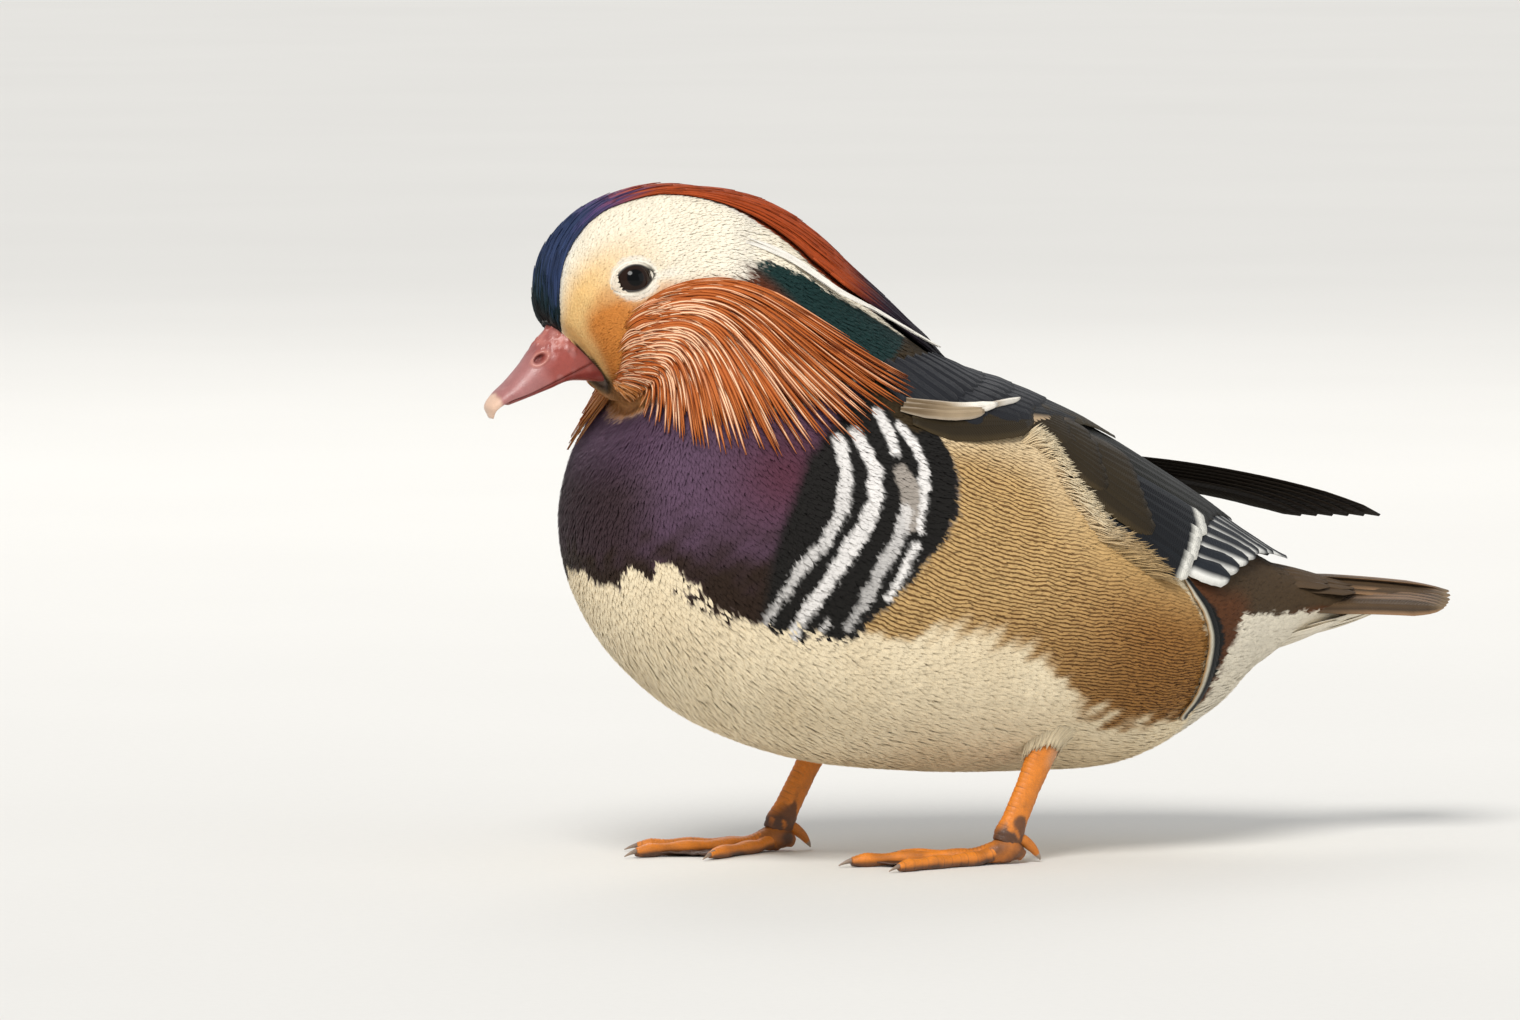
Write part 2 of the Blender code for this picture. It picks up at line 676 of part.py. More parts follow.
def shank(side, name, grow, home):
    """The shank of one leg, made thicker all round by grow."""
    depth = np.interp(np.linspace(0, 1, 7), [0, .25, .6, .85, 1], [1.12, 1.15, .92, 1.0, 1.15])
    halves = np.stack([depth * SHANK[0] + grow, depth * SHANK[1] + grow], -1)
    path = shank_path(side)
    if grow:
        path[0] += (path[0] - path[1]) * .1
    return round_tube(name, path, halves, "leg", home, 12, (1, 0, 0))


def toe(start, turn, length, half, home):
    """One toe with its joints and claw, sunk a little below the floor's level."""
    ahead = np.array([-math.cos(turn), math.sin(turn), 0])
    t = np.linspace(0, 1, 8)
    lift = np.interp(t, [0, .25, .9, 1], [1.9, .75, .62, .55]) * half
    path = start + ahead * (t * length)[:, None] + np.array([0, 0, 1]) * lift[:, None]
    bumps = 1 + .10 * np.cos(t * math.tau * 3.2)
    wide = np.interp(t, [0, .2, .9, 1], [1.35, 1.05, .78, .45]) * half * bumps
    high = np.interp(t, [0, .2, .9, 1], [1.25, 1.0, .80, .45]) * half * bumps
    made = round_tube("toe", path, np.stack([high, wide], -1), "leg", home, 8)
    tip = start + ahead * length
    bend = np.linspace(0, 1, 4)
    hook = (tip + ahead * (-.0022 + CLAW * bend)[:, None]
            + np.array([0, 0, 1]) * (half * (.75 - .55 * bend ** 2))[:, None])
    thick = half * (.48 - .38 * bend)
    claw = round_tube("claw", hook, np.stack([thick, thick * .75], -1), "leg", home, 6)
    return [made, claw]


def web(start, turn_a, turn_b, length_a, length_b, home):
    """The skin between two toes, scalloped at its front edge."""
    t, share = np.meshgrid(np.linspace(.12, 1, 4), np.linspace(0, 1, 5), indexing="ij")
    turn = turn_a + (turn_b - turn_a) * share
    reach = (length_a + (length_b - length_a) * share) * .86
    reach = reach * (1 - .22 * np.sin(np.pi * share)) * t
    top = np.stack([start[0] - np.cos(turn) * reach, start[1] + np.sin(turn) * reach,
                    np.full_like(reach, .0014)], -1)
    return slab("web", top, top - np.array([0, 0, .0008]), "leg", home)


def add_leg(side, word, torso, home, tools):
    """One leg: the shank rooted in the belly, and the webbed foot on the floor."""
    (x, y), turn, _top = FEET[side]
    cut(torso, shank(side, "shank pocket", GAP, tools))
    leg = shank(side, "leg_" + word, 0, home)
    floor = np.array([x, y, 0])
    pieces = []
    turns = []
    for angle, length, half in TOES:
        heading = math.radians(turn + angle) * -side
        turns.append(heading)
        pieces += toe(floor, heading, length, half, tools)
    for i in (0, 1):
        pieces.append(web(floor, turns[i], turns[i + 1], TOES[i][1], TOES[i + 1][1], tools))
    heel = round_tube("heel", floor + np.array([[.0052, 0, .0016], [.0020, 0, .0024],
                                                [-.0020, 0, .0024], [-.0070, 0, .0020]]),
                      [(.0020, .0022), (.0030, .0036), (.0031, .0038), (.0024, .0030)],
                      "leg", tools, 8)
    back = floor + np.array([[.0010, 0, .0050], [.0050, 0, .0072], [.0088, .0, .0050],
                             [.0112, 0, .0022], [.0120, 0, .0008]])
    hind = round_tube("hind toe", back, [(.0017, .0016), (.0018, .0017), (.0015, .0014),
                                         (.0008, .0008), (.0003, .0003)], "leg", tools, 6)
    join(leg, pieces + [heel, hind], "MANIFOLD")
    block = solid("floor cut", [(sx * .3, sy * .3, z) for z in (-.05, 0) for sx, sy in
                                ((-1, -1), (1, -1), (1, 1), (-1, 1))],
                  [(0, 1, 2, 3), (4, 5, 6, 7), (0, 1, 5, 4), (1, 2, 6, 5), (2, 3, 7, 6),
                   (3, 0, 4, 7)], "leg", tools)
    cut(leg, block, "MANIFOLD")


def main():
    """The whole bird."""
    for old in list(bpy.data.objects):
        bpy.data.objects.remove(old)
    home = collection("mandarin duck")
    tools = collection("cutters")
    add_head(home, tools)
    add_bill(home, tools)
    body_length("neck", HEAD_END, NECK_END, 6, 34, "neck", home)
    torso = body_length("torso", NECK_END, TORSO_END, 20, 34, "torso", home)
    add_crest(home, tools)
    for side, word in ((LEFT, "left"), (RIGHT, "right")):
        add_mane(side, word, home, tools)
        add_wing(side, word, home, tools)
        add_leg(side, word, torso, home, tools)
    add_tail(home, tools)


main()
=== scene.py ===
"""A life-size mandarin drake in full breeding plumage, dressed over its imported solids.

The bird looks along -X and its left side is at -Y.  A place on the body is a rib number,
from 0 at the bill to 19 at the tail, and an angle round the rib in degrees, 0 on the back,
180 on the belly, positive on the left side.  Lengths are in metres.
"""

import logging
import math
from dataclasses import dataclass
from enum import Enum
from typing import Callable

import bmesh
import bpy
import numpy as np
from mathutils import Matrix, Vector

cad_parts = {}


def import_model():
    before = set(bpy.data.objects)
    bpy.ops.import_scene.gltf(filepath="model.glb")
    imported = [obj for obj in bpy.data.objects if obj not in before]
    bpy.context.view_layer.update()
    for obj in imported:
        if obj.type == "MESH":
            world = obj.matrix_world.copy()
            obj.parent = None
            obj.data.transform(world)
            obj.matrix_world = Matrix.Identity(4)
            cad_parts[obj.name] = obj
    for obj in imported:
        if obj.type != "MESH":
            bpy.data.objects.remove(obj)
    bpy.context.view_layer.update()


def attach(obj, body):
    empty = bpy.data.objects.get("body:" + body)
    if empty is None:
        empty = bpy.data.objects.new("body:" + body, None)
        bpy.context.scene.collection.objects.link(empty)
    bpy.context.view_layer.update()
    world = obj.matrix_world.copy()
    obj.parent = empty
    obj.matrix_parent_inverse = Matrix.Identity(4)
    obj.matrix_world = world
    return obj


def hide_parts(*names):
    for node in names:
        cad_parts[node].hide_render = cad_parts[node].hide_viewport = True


LOG = logging.getLogger("mandarin")
BODY_NAME = "root"
MM = .001
# the lowest skin's gap over the floor, and the ankle's height
FLOOR_GAP = .00005
ANKLE_HEIGHT = .0062
# the golden angle in radians, which spreads roots round a circle without rows
GOLDEN_TURN = 2.399963
Colour = tuple[float, float, float]
Spot = tuple[float, float, float]
Pairs = tuple[tuple[float, float], ...]
Array = np.ndarray
Piece = bpy.types.Object
Mesh = bpy.types.Mesh
Finish = bpy.types.Material
Node = bpy.types.Node
NodeTree = bpy.types.NodeTree


class Side(Enum):
    """The two sides of the bird, with the sign of y on each."""

    LEFT = -1
    RIGHT = 1

    @property
    def word(self) -> str:
        """The side's name in the names of pieces."""
        return self.name.lower()

    @property
    def turn(self) -> int:
        """The sign of an angle round the body on this side."""
        return -self.value


class Hue(Enum):
    """Colours of the plumage, in linear light."""

    CREAM = (.86, .735, .515)
    BELLY_SHADE = (.64, .49, .285)
    WHITE = (.86, .82, .73)
    FACE = (.88, .80, .64)
    BUFF = (.90, .60, .25)
    CHEEK = (.66, .23, .038)
    LORE_EDGE = (.060, .028, .010)
    INK = (.006, .007, .007)
    TEAL = (.006, .020, .026)
    BLUE = (.022, .038, .095)
    VIOLET = (.085, .055, .150)
    COPPER = (.36, .058, .011)
    COPPER_DARK = (.15, .020, .006)
    MAROON = (.020, .009, .022)
    GREEN = (.006, .030, .028)
    THROAT = (.42, .19, .06)
    UNDER_MANE = (.10, .022, .006)
    PURPLE = (.105, .058, .100)
    MAGENTA = (.088, .026, .044)
    BROWN = (.022, .011, .006)
    BLACK = (.008, .007, .006)
    BAR_WHITE = (.80, .77, .74)
    BAR_GREY = (.34, .30, .26)
    GOLD = (.55, .355, .145)
    GOLD_PALE = (.72, .56, .34)
    GOLD_DEEP = (.31, .145, .036)
    FRINGE = (.74, .64, .45)
    OLIVE = (.036, .022, .007)
    RUFOUS = (.092, .032, .010)
    RUMP = (.060, .036, .016)
    UNDERTAIL = (.76, .69, .55)


def smooth(low: float, high: float, x: Array) -> Array:
    """A soft step from 0 at low to 1 at high."""
    t = np.clip((x - low) / (high - low), 0, 1)
    return t * t * (3 - 2 * t)


def profile(points: Pairs, t: Array) -> Array:
    """A value read at t from pairs (t, value)."""
    return np.interp(t, [p[0] for p in points], [p[1] for p in points])


def curve_at(rows: Array, t: Array) -> Array:
    """Reads rows at t from a smooth curve through them.

    Args:
        rows: The rows, one at each whole number.
        t: Where to read.

    Returns:
        One row for each t.
    """
    rows = np.asarray(rows, float)
    ends = np.vstack([2 * rows[0] - rows[1], rows, 2 * rows[-1] - rows[-2]])
    t = np.clip(np.asarray(t, float), 0, len(rows) - 1 - 1e-9)
    i = t.astype(int)
    f = (t - i)[..., None]
    a, b, c, d = ends[i], ends[i + 1], ends[i + 2], ends[i + 3]
    return .5 * (2 * b + (c - a) * f + (2 * a - 5 * b + 4 * c - d) * f ** 2
                 + (3 * b - a - 3 * c + d) * f ** 3)


def ripple(points: Array, scale: float, seed: int = 0) -> Array:
    """Smooth uneven values over space.

    Args:
        points: Places, one a row.
        scale: The size of a patch, in metres.
        seed: Which pattern.

    Returns:
        Values from about -1 to 1.
    """
    draw = np.random.default_rng(100 + seed)
    total = np.zeros(points.shape[:-1])
    for _ in range(5):
        way = draw.normal(size=3)
        way /= np.linalg.norm(way)
        total += np.sin(points @ way * (2 * np.pi / scale) * draw.uniform(.6, 1.5)
                        + draw.uniform(0, 6.28))
    return total / 2.6


def unit(v: Array) -> Array:
    """The same directions with length 1."""
    return v / np.maximum(np.linalg.norm(v, axis=-1, keepdims=True), 1e-12)


@dataclass(frozen=True)
class Body:
    """The smooth form of head, neck and trunk that every feather grows on."""

    # back (x, z), belly (x, z), half width, how far the widest place is from the middle
    ribs: tuple = (
        (-.1468, .1702, -.1285, .1520, .0090, .00),
        (-.1495, .1790, -.1275, .1497, .0128, -.05),
        (-.1462, .1935, -.1262, .1480, .0162, -.05),
        (-.1330, .2060, -.1240, .1470, .0190, -.05),
        (-.1110, .2120, -.1215, .1460, .0215, -.10),
        (-.0880, .2090, -.1215, .1440, .0245, -.15),
        (-.0660, .1985, -.1270, .1380, .0300, -.20),
        (-.0460, .1815, -.1355, .1250, .0390, -.20),
        (-.0260, .1650, -.1395, .1070, .0470, -.10),
        (-.0090, .1540, -.1355, .0860, .0530, .00),
        (.0030, .1485, -.1220, .0650, .0555, .00),
        (.0130, .1440, -.0985, .0460, .0565, .00),
        (.0220, .1395, -.0650, .0330, .0565, .00),
        (.0320, .1340, -.0270, .0275, .0555, .00),
        (.0450, .1260, .0120, .0260, .0530, .00),
        (.0600, .1165, .0450, .0275, .0470, .00),
        (.0750, .1070, .0720, .0390, .0380, .00),
        (.0900, .0970, .0920, .0540, .0270, .00),
        (.1060, .0885, .1120, .0655, .0170, .00),
        (.1230, .0830, .1290, .0690, .0110, .00),
    )
    eye_rib: float = 3.3
    eye_angle: float = 74.0
    eye_radius: float = .0060
    eye_proud: float = .0019

    @property
    def last(self) -> float:
        """The last rib's number."""
        return len(self.ribs) - 1.0

    def point(self, rib: Array, angle: Array) -> Array:
        """Places on the body's surface.

        Args:
            rib: Rib numbers.
            angle: Angles round the rib, positive on the left.

        Returns:
            Points in metres.
        """
        row = curve_at(self.ribs, rib)
        turn = np.radians(angle)
        middle = (row[..., 0:2] + row[..., 2:4]) / 2
        half = (row[..., 0:2] - row[..., 2:4]) / 2
        flat = middle + half * np.cos(turn)[..., None]
        wide = row[..., 4] * np.sin(turn) * (1 + row[..., 5] * np.cos(turn))
        return np.stack([flat[..., 0], -wide, flat[..., 1]], -1)

    def steps(self, rib: Array, angle: Array) -> tuple[Array, Array]:
        """How the surface point moves for each rib and for each degree.

        Args:
            rib: Rib numbers.
            angle: Angles round the ribs.

        Returns:
            The step for each rib and the step for each degree.
        """
        by_rib = (self.point(rib + .02, angle) - self.point(rib - .02, angle)) / .04
        by_angle = (self.point(rib, angle + 1) - self.point(rib, angle - 1)) / 2
        return by_rib, by_angle

    def out(self, rib: Array, angle: Array) -> Array:
        """Directions straight out of the body."""
        by_rib, by_angle = self.steps(rib, angle)
        return unit(np.cross(by_angle, by_rib))

    def at(self, rib: Array, angle: Array, lift: Array) -> Array:
        """Places lifted off the surface."""
        rib, angle, lift = np.broadcast_arrays(rib, angle, lift)
        return self.point(rib, angle) + self.out(rib, angle) * lift[..., None]

    def chart_step(self, rib: Array, angle: Array, way: Array) -> tuple[Array, Array]:
        """Ribs and degrees that a step in space along the surface covers.

        Args:
            rib: Where the step starts.
            angle: Where the step starts.
            way: The step, in metres.

        Returns:
            The change of rib and the change of angle.
        """
        by_rib, by_angle = self.steps(rib, angle)
        rr = (by_rib * by_rib).sum(-1)
        ra = (by_rib * by_angle).sum(-1)
        aa = (by_angle * by_angle).sum(-1)
        wr = (way * by_rib).sum(-1)
        wa = (way * by_angle).sum(-1)
        det = rr * aa - ra * ra
        return (wr * aa - wa * ra) / det, (wa * rr - wr * ra) / det

    def unwrap(self, rib: Array, angle: Array) -> Array:
        """Places on the flat unwrap of the skin, from 0 to 1 both ways."""
        return np.stack([.01 + .98 * rib / self.last, .01 + .98 * (angle + 180) / 360], -1)

    def eye(self, side: Side) -> tuple[Array, Array, Array, Array]:
        """Centre of an eye, its outward axis, and its long and short directions.

        Args:
            side: Which side.

        Returns:
            The four of them, in metres and unit lengths.
        """
        rib = np.array([self.eye_rib])
        angle = np.array([self.eye_angle * side.turn])
        out = self.out(rib, angle)[0]
        centre = self.point(rib, angle)[0] - out * (self.eye_radius - self.eye_proud)
        along = np.array([1, 0, .22])
        along = unit(along - out * (along @ out))
        up = np.cross(out, along)
        return centre, out, along, up * np.sign(up[2])


BODY = Body()


@dataclass(frozen=True)
class Stripe:
    """A painted band on the body: its line as (rib, angle), its widths in metres there,
    its colour, and its strength at both ends.
    """

    line: Pairs
    widths: tuple[float, ...]
    hue: Hue
    strength: tuple[float, float] = (1.0, 1.0)

    def cover(self, points: Array, rough: Array) -> Array:
        """How much the band covers each point.

        Args:
            points: Places on the left side of the body.
            rough: How uneven its edge is there, in metres.

        Returns:
            Shares from 0 to 1.
        """
        rib, angle = np.array(self.line, float).T
        stops = np.linspace(0, len(rib) - 1, 6 * len(rib))
        line = BODY.point(np.interp(stops, range(len(rib)), rib),
                          np.interp(stops, range(len(rib)), angle))
        width = np.interp(stops, range(len(rib)), self.widths)
        best = np.full(len(points), 1.0)
        share = np.zeros(len(points))
        near = np.linalg.norm(points - line.mean(0), axis=1) < .05
        picked = points[near]
        least, part = np.full(len(picked), 1.0), np.zeros(len(picked))
        for place, half, stop in zip(line, width / 2, stops / stops[-1]):
            gap = np.linalg.norm(picked - place, axis=1) - half
            closer = gap < least
            least = np.where(closer, gap, least)
            part = np.where(closer, stop, part)
        best[near], share[near] = least, part
        strong = self.strength[0] + (self.strength[1] - self.strength[0]) * share
        return smooth(.0004, -.0004, best + rough) * strong


@dataclass(frozen=True)
class Markings:
    """Where each colour of the plumage lies, read by skin and feathers alike."""

    crest_edge: Pairs = ((0, 40), (.4, 38), (.9, 38), (1.55, 32), (2, 28), (2.35, 23),
                         (2.7, 16), (3.1, 8), (3.5, 5), (4, 7), (4.5, 10), (4.8, 14),
                         (5.2, 21), (5.6, 25), (6.3, 30), (6.8, 26), (7.4, 17),
                         (7.9, 12), (8.55, 8.5), (9, 0))
    green_top: Pairs = ((5.2, 62), (5.4, 56), (5.85, 50), (6.33, 41.5), (6.8, 35),
                        (7.3, 26.5), (7.9, 16), (8.5, 10.5), (9, 6))
    neck_end: Pairs = ((0, 9.2), (14, 9.1), (22, 9.0), (30, 8.9), (38, 8.7), (46, 8.4),
                       (56, 8.1), (180, 8.0))
    breast_start: Pairs = ((45, 7.9), (60, 7.75), (80, 7.6), (100, 7.2), (120, 6.5),
                           (132, 5.9), (145, 5.0), (160, 4.1), (180, 3.3))
    black_start: Pairs = ((40, 7.7), (70, 7.9), (90, 8.25), (98, 8.62), (108, 9.08),
                          (116, 9.55), (122, 9.9), (128, 10.2), (180, 12))
    flank_start: Pairs = ((50, 8.8), (55, 8.95), (58, 9.62), (64, 10.23), (72, 10.62),
                          (80, 10.8), (96, 10.95), (116, 10.95), (180, 10.95))
    belly_start: Pairs = ((136, 8.9), (142, 8.83), (146, 8.9), (150, 8.68), (158, 8.83),
                          (166, 8.7), (180, 8.62))
    belly_top: Pairs = ((8.9, 136), (9.3, 137), (9.6, 134), (9.9, 131), (10.1, 127),
                        (10.5, 124), (10.9, 117), (11.25, 109), (11.6, 104), (12, 101),
                        (12.55, 102), (13.1, 104), (13.6, 113), (13.95, 124), (14.3, 128),
                        (15.2, 130), (15.6, 128), (19, 120))
    flank_top: Pairs = ((8.9, 61), (9.05, 56), (9.45, 46), (10.2, 37), (11.2, 34),
                        (11.75, 37), (12.2, 44), (13.3, 60), (14.2, 67), (14.85, 74),
                        (15.4, 88))
    flank_end: Pairs = ((60, 14.7), (72, 14.95), (81, 15.25), (94, 15.43), (111, 15.43),
                        (124, 15.40), (135, 15.3))
    white_end: Pairs = ((84, 16.15), (95, 15.98), (102, 15.88), (111, 15.78), (122, 15.7),
                        (140, 15.5))
    white_top: Pairs = ((16, 84), (17, 91), (17.85, 102), (18.6, 109), (19, 114))
    stripes: tuple[Stripe, ...] = (
        Stripe(((8.30, 80), (8.55, 82), (8.90, 86), (9.28, 92), (9.58, 100), (9.73, 109),
                (9.93, 116), (10.15, 126)),
               (.0046, .0050, .0046, .0042, .0040, .0036, .0030, .0020), Hue.BAR_WHITE,
               (1.0, .62)),
        Stripe(((8.33, 74), (8.68, 76), (9.03, 78), (9.47, 84), (9.73, 90), (9.93, 98),
                (10.12, 106), (10.28, 114), (10.43, 121), (10.53, 125)),
               (.0036, .0044, .0048, .0052, .0054, .0052, .0050, .0048, .0038, .0026),
               Hue.BAR_WHITE, (1.0, .92)),
        Stripe(((8.28, 64), (8.58, 66), (8.97, 70)), (.0034, .0038, .0032), Hue.BAR_WHITE),
        Stripe(((9.34, 73), (9.75, 76), (10.2, 82)), (.0052, .0074, .0050), Hue.BAR_GREY),
        Stripe(((8.65, 62), (9.08, 64), (9.58, 68), (10.03, 75), (10.38, 82)),
               (.0032, .0036, .0034, .0032, .0022), Hue.BAR_WHITE),
        Stripe(((9.95, 80), (10.28, 88), (10.45, 96), (10.70, 105), (10.83, 113)),
               (.0042, .0042, .0038, .0034, .0026), Hue.BAR_WHITE, (.75, .5)),
        Stripe(((10.55, 86), (10.70, 92), (10.88, 101)), (.0026, .0030, .0024),
               Hue.BAR_WHITE),
        Stripe(((10.60, 115), (10.66, 119)), (.0024, .0018), Hue.BAR_WHITE, (.7, .7)),
    )

    def lay(self, rib: Array, angle: Array, luck: Array) -> dict[str, Array]:
        """Colours and marks at places on the body.

        Args:
            rib: Rib numbers.
            angle: Angles round the ribs.
            luck: An uneven value from -1 to 1 for the feather that the place is on.

        Returns:
            tint, gloss and bars (how strong the fine dark waves are) at each place.
        """
        s = np.clip(rib, 0, BODY.last)
        a = np.abs((angle + 180) % 360 - 180)
        points = BODY.point(s, a)
        width = curve_at(BODY.ribs, s)[..., 4] * math.pi / 180
        wave = ripple(points, .007, 1)
        rough = .0005 * luck + .0005 * wave
        tint = np.empty(points.shape)
        tint[:] = Hue.CREAM.value
        gloss = np.zeros(len(s))
        bars = np.zeros(len(s))

        def paint(mask: Array, hue: Hue) -> None:
            """Lays a colour where the mask is 1."""
            tint[:] += (np.array(hue.value) - tint) * np.clip(mask, 0, 1)[:, None]

        def above(edge: Pairs) -> Array:
            """How far places are above an edge given as (rib, angle), in metres."""
            return (profile(edge, s) - a) * width

        def before(edge: Pairs, by: float = .022) -> Array:
            """How far places are ahead of an edge given as (angle, rib), in metres."""
            return (profile(edge, a) - s) * by

        # the belly's shade and the golden flank
        shade = smooth(.0420, .0280, points[:, 2]) * smooth(8.5, 10, s)
        paint(.55 * shade + .12 * (1 + ripple(points, .03, 4)), Hue.BELLY_SHADE)
        belly = np.minimum(-before(self.belly_start), -above(self.belly_top))
        flank = np.minimum(-before(self.flank_start, .013), -above(self.flank_top))
        flank = np.minimum(flank, before(self.flank_end, .015))
        upper = above(self.belly_top) + .004 * wave
        gold = smooth(-.0005, .0006, flank + rough) * smooth(-.0045, .0045, upper)
        gold *= smooth(8.6, 9.1, s)
        paint(gold, Hue.GOLD)
        paint(gold * smooth(.024, .004, -above(self.flank_top)) * smooth(13.6, 11.2, s),
              Hue.GOLD_PALE)
        paint(gold * smooth(12.2, 14.6, s) * smooth(60, 94, a), Hue.GOLD_DEEP)
        soft_edge = smooth(.0050, .0008, -above(self.flank_top)) * smooth(11.0, 11.8, s)
        soft_edge *= smooth(13.9, 13.0, s)
        paint(gold * soft_edge * .9, Hue.FRINGE)
        bars += gold * (1 - .95 * soft_edge)
        bars *= .40 + .60 * smooth(.004, .022, -above(self.flank_top))
        paint(gold * smooth(11.4, 12.6, s) * smooth(-.014, -.002, -upper) * .35,
              Hue.GOLD_DEEP)

        # the tail's sides, the black line that ends the flank, and the white under the tail
        edge = before(self.flank_end, .015)
        tail_side = smooth(.0002, -.0006, edge) * smooth(56, 64, a) * smooth(14.2, 14.6, s)
        paint(tail_side * smooth(134, 126, a), Hue.RUFOUS)
        paint(tail_side * smooth(15.9, 16.6, s) * smooth(104, 92, a), Hue.RUMP)
        bulge = .0042 * np.sin(np.pi * np.clip((a - 66) / 64, 0, 1)) ** .5
        line = smooth(72, 76, a) * smooth(132, 128, a) * smooth(14.4, 14.8, s)
        paint(line * smooth(.0003, -.0003, edge) * smooth(-bulge - .0004, -bulge, edge),
              Hue.INK)
        paint(line * smooth(.0009, .0006, edge) * smooth(-.0001, .0002, edge), Hue.CREAM)
        bars *= 1 - line * smooth(.0014, .0009, edge)
        white_under = np.minimum(-before(self.white_end, .015), -above(self.white_top))
        white_under = np.minimum(white_under + 1.4 * rough, s - 15.3)
        paint(smooth(-.0005, .0007, white_under), Hue.UNDERTAIL)

        # the breast with its striped shoulder
        breast = np.minimum(before(self.flank_start, .013) - rough,
                            -before(self.breast_start, .016))
        chest = smooth(-.0005, .0005, breast)
        ragged = belly + 3.2 * rough + .0016 * ripple(points, .012, 2)
        chest *= 1 - smooth(-.0006, .0006, ragged)
        fade = smooth(.1200, .0900, points[:, 2] + .004 * wave + (a - 120) * -.00009)
        front = smooth(-.118, -.134, points[:, 0]) * smooth(.138, .118, points[:, 2])
        paint(chest, Hue.PURPLE)
        paint(chest * np.exp(-((s - 8.35) / .9) ** 2 - ((a - 97) / 17) ** 2), Hue.MAGENTA)
        paint(chest * np.maximum(fade, .8 * front), Hue.BROWN)
        gloss += .35 * chest * (1 - fade)
        bars *= 1 - chest
        black = chest * smooth(-.0030, .0030, -before(self.black_start))
        paint(black, Hue.BLACK)
        gloss *= 1 - .8 * black
        tufted = .00012 * luck + .0003 * ripple(points, .0022, 7) + .0003 * wave
        for stripe in self.stripes:
            paint(black * stripe.cover(points, tufted), stripe.hue)

        # the back
        back = smooth(-.0004, .0006, above(self.flank_top) + rough) * smooth(7.4, 7.7, s)
        back *= smooth(70, 60, a)
        paint(back, Hue.OLIVE)
        paint(smooth(15.2, 15.9, s) * smooth(80, 66, a), Hue.RUMP)

        # the neck under ruff and crest
        neck = smooth(.0006, -.0004, -before(self.neck_end, .016) + rough)
        neck *= smooth(4.9, 5.5, s + .06 * luck) * smooth(-.0004, .0004, -breast - .0004)
        paint(neck, Hue.UNDER_MANE)
        green = neck * smooth(64, 54, a) * smooth(5.35, 5.7, s + .22 * luck)
        paint(green, Hue.GREEN)
        gloss += .5 * green
        pale = -above(self.crest_edge)
        stripe = np.minimum(pale, above(self.green_top) + 1.2 * rough)
        stripe = smooth(-.0003, .0003, stripe)
        # the face, from white behind the eye to buff and orange at the bill
        face = 1 - smooth(5.2, 5.75, s + .15 * luck)
        paint(np.maximum(face, neck * stripe), Hue.FACE)
        gloss *= 1 - np.maximum(face, neck * stripe)
        paint(face * smooth(4.6, 6.2, s), Hue.WHITE)
        chin = face * smooth(-.0004, .0004, -breast)
        paint(face * smooth(4.3, 1.9, s + .012 * (60 - a)) * smooth(32, 60, a), Hue.BUFF)
        edge_of_cheek = ((1, 80), (2.3, 76), (3.3, 86), (4.3, 83), (5.2, 78))
        orange = smooth(-11, 9, a - profile(edge_of_cheek, s) + 2 * wave)
        paint(face * orange * smooth(.9, 1.7, s) * .95, Hue.CHEEK)
        paint(face * smooth(2.0, .6, s) * smooth(44, 70, a) * .55, Hue.BUFF)
        paint(face * smooth(128, 142, a) * smooth(.6, 1.4, s), Hue.THROAT)
        under_crown = smooth(.0030, .0006, pale + .4 * rough)
        paint(face * under_crown * smooth(.8, 1.6, s), Hue.WHITE)
        paint(face * smooth(.34, .20, s) * smooth(58, 70, a), Hue.LORE_EDGE)
        paint(face * smooth(1.5, .8, s) * smooth(120, 140, a) * .85, Hue.LORE_EDGE)
        paint(face * smooth(.80, .40, s) * smooth(90, 104, a) * .9, Hue.LORE_EDGE)
        # the white ring and streak at the eye
        eye, _, along, up = BODY.eye(Side.LEFT)
        reach = np.hypot((points - eye) @ along / .0066, (points - eye) @ up / .0060)
        paint(smooth(1.30, 1.06, reach + .05 * luck) * .75, Hue.WHITE)
        behind = points - (eye + along * .0105 - up * .0012)
        reach = np.hypot(behind @ along / .0062, behind @ up / .0022)
        paint(smooth(1.2, .3, reach + .2 * luck) * face * .55, Hue.WHITE)
        paint(smooth(-.0002, .0004, breast) * chin, Hue.PURPLE)
        # the crest's ground
        crown = smooth(.0003, -.0003, pale + .6 * rough) * smooth(8.9, 8.6, s)
        paint(crown, Hue.INK)
        tint[:] += (crest_tint(s, a, luck) - tint) * crown[:, None]
        return {"tint": tint, "gloss": np.clip(gloss, 0, 1), "bars": np.clip(bars, 0, 1)}


def crest_tint(rib: Array, angle: Array, luck: Array) -> Array:
    """Colour of the forehead stripe and crest at ribs.

    Args:
        rib: Rib numbers.
        angle: Angles from the middle.
        luck: An uneven value for each strand.

    Returns:
        Colours.
    """
    stops = (.2, .7, 1.3, 1.9, 2.8, 3.35, 3.9, 5.4, 6.4, 6.8, 7.15, 9.0)
    hues = (Hue.INK, Hue.INK, Hue.TEAL, Hue.BLUE, Hue.BLUE, Hue.VIOLET, Hue.COPPER,
            Hue.COPPER, Hue.COPPER, Hue.COPPER_DARK, Hue.MAROON, Hue.INK)
    place = rib + .25 * luck - .035 * np.clip(np.abs(angle) - 8, 0, 20) * (rib > 5)
    place = place + .02 * np.clip(np.abs(angle) - 8, 0, 20) * (rib < 4)
    rows = np.array([hue.value for hue in hues])
    tint = np.stack([np.interp(place, stops, rows[:, k]) for k in range(3)], -1)
    return tint * (1 + .25 * luck)[..., None]


MARKINGS = Markings()


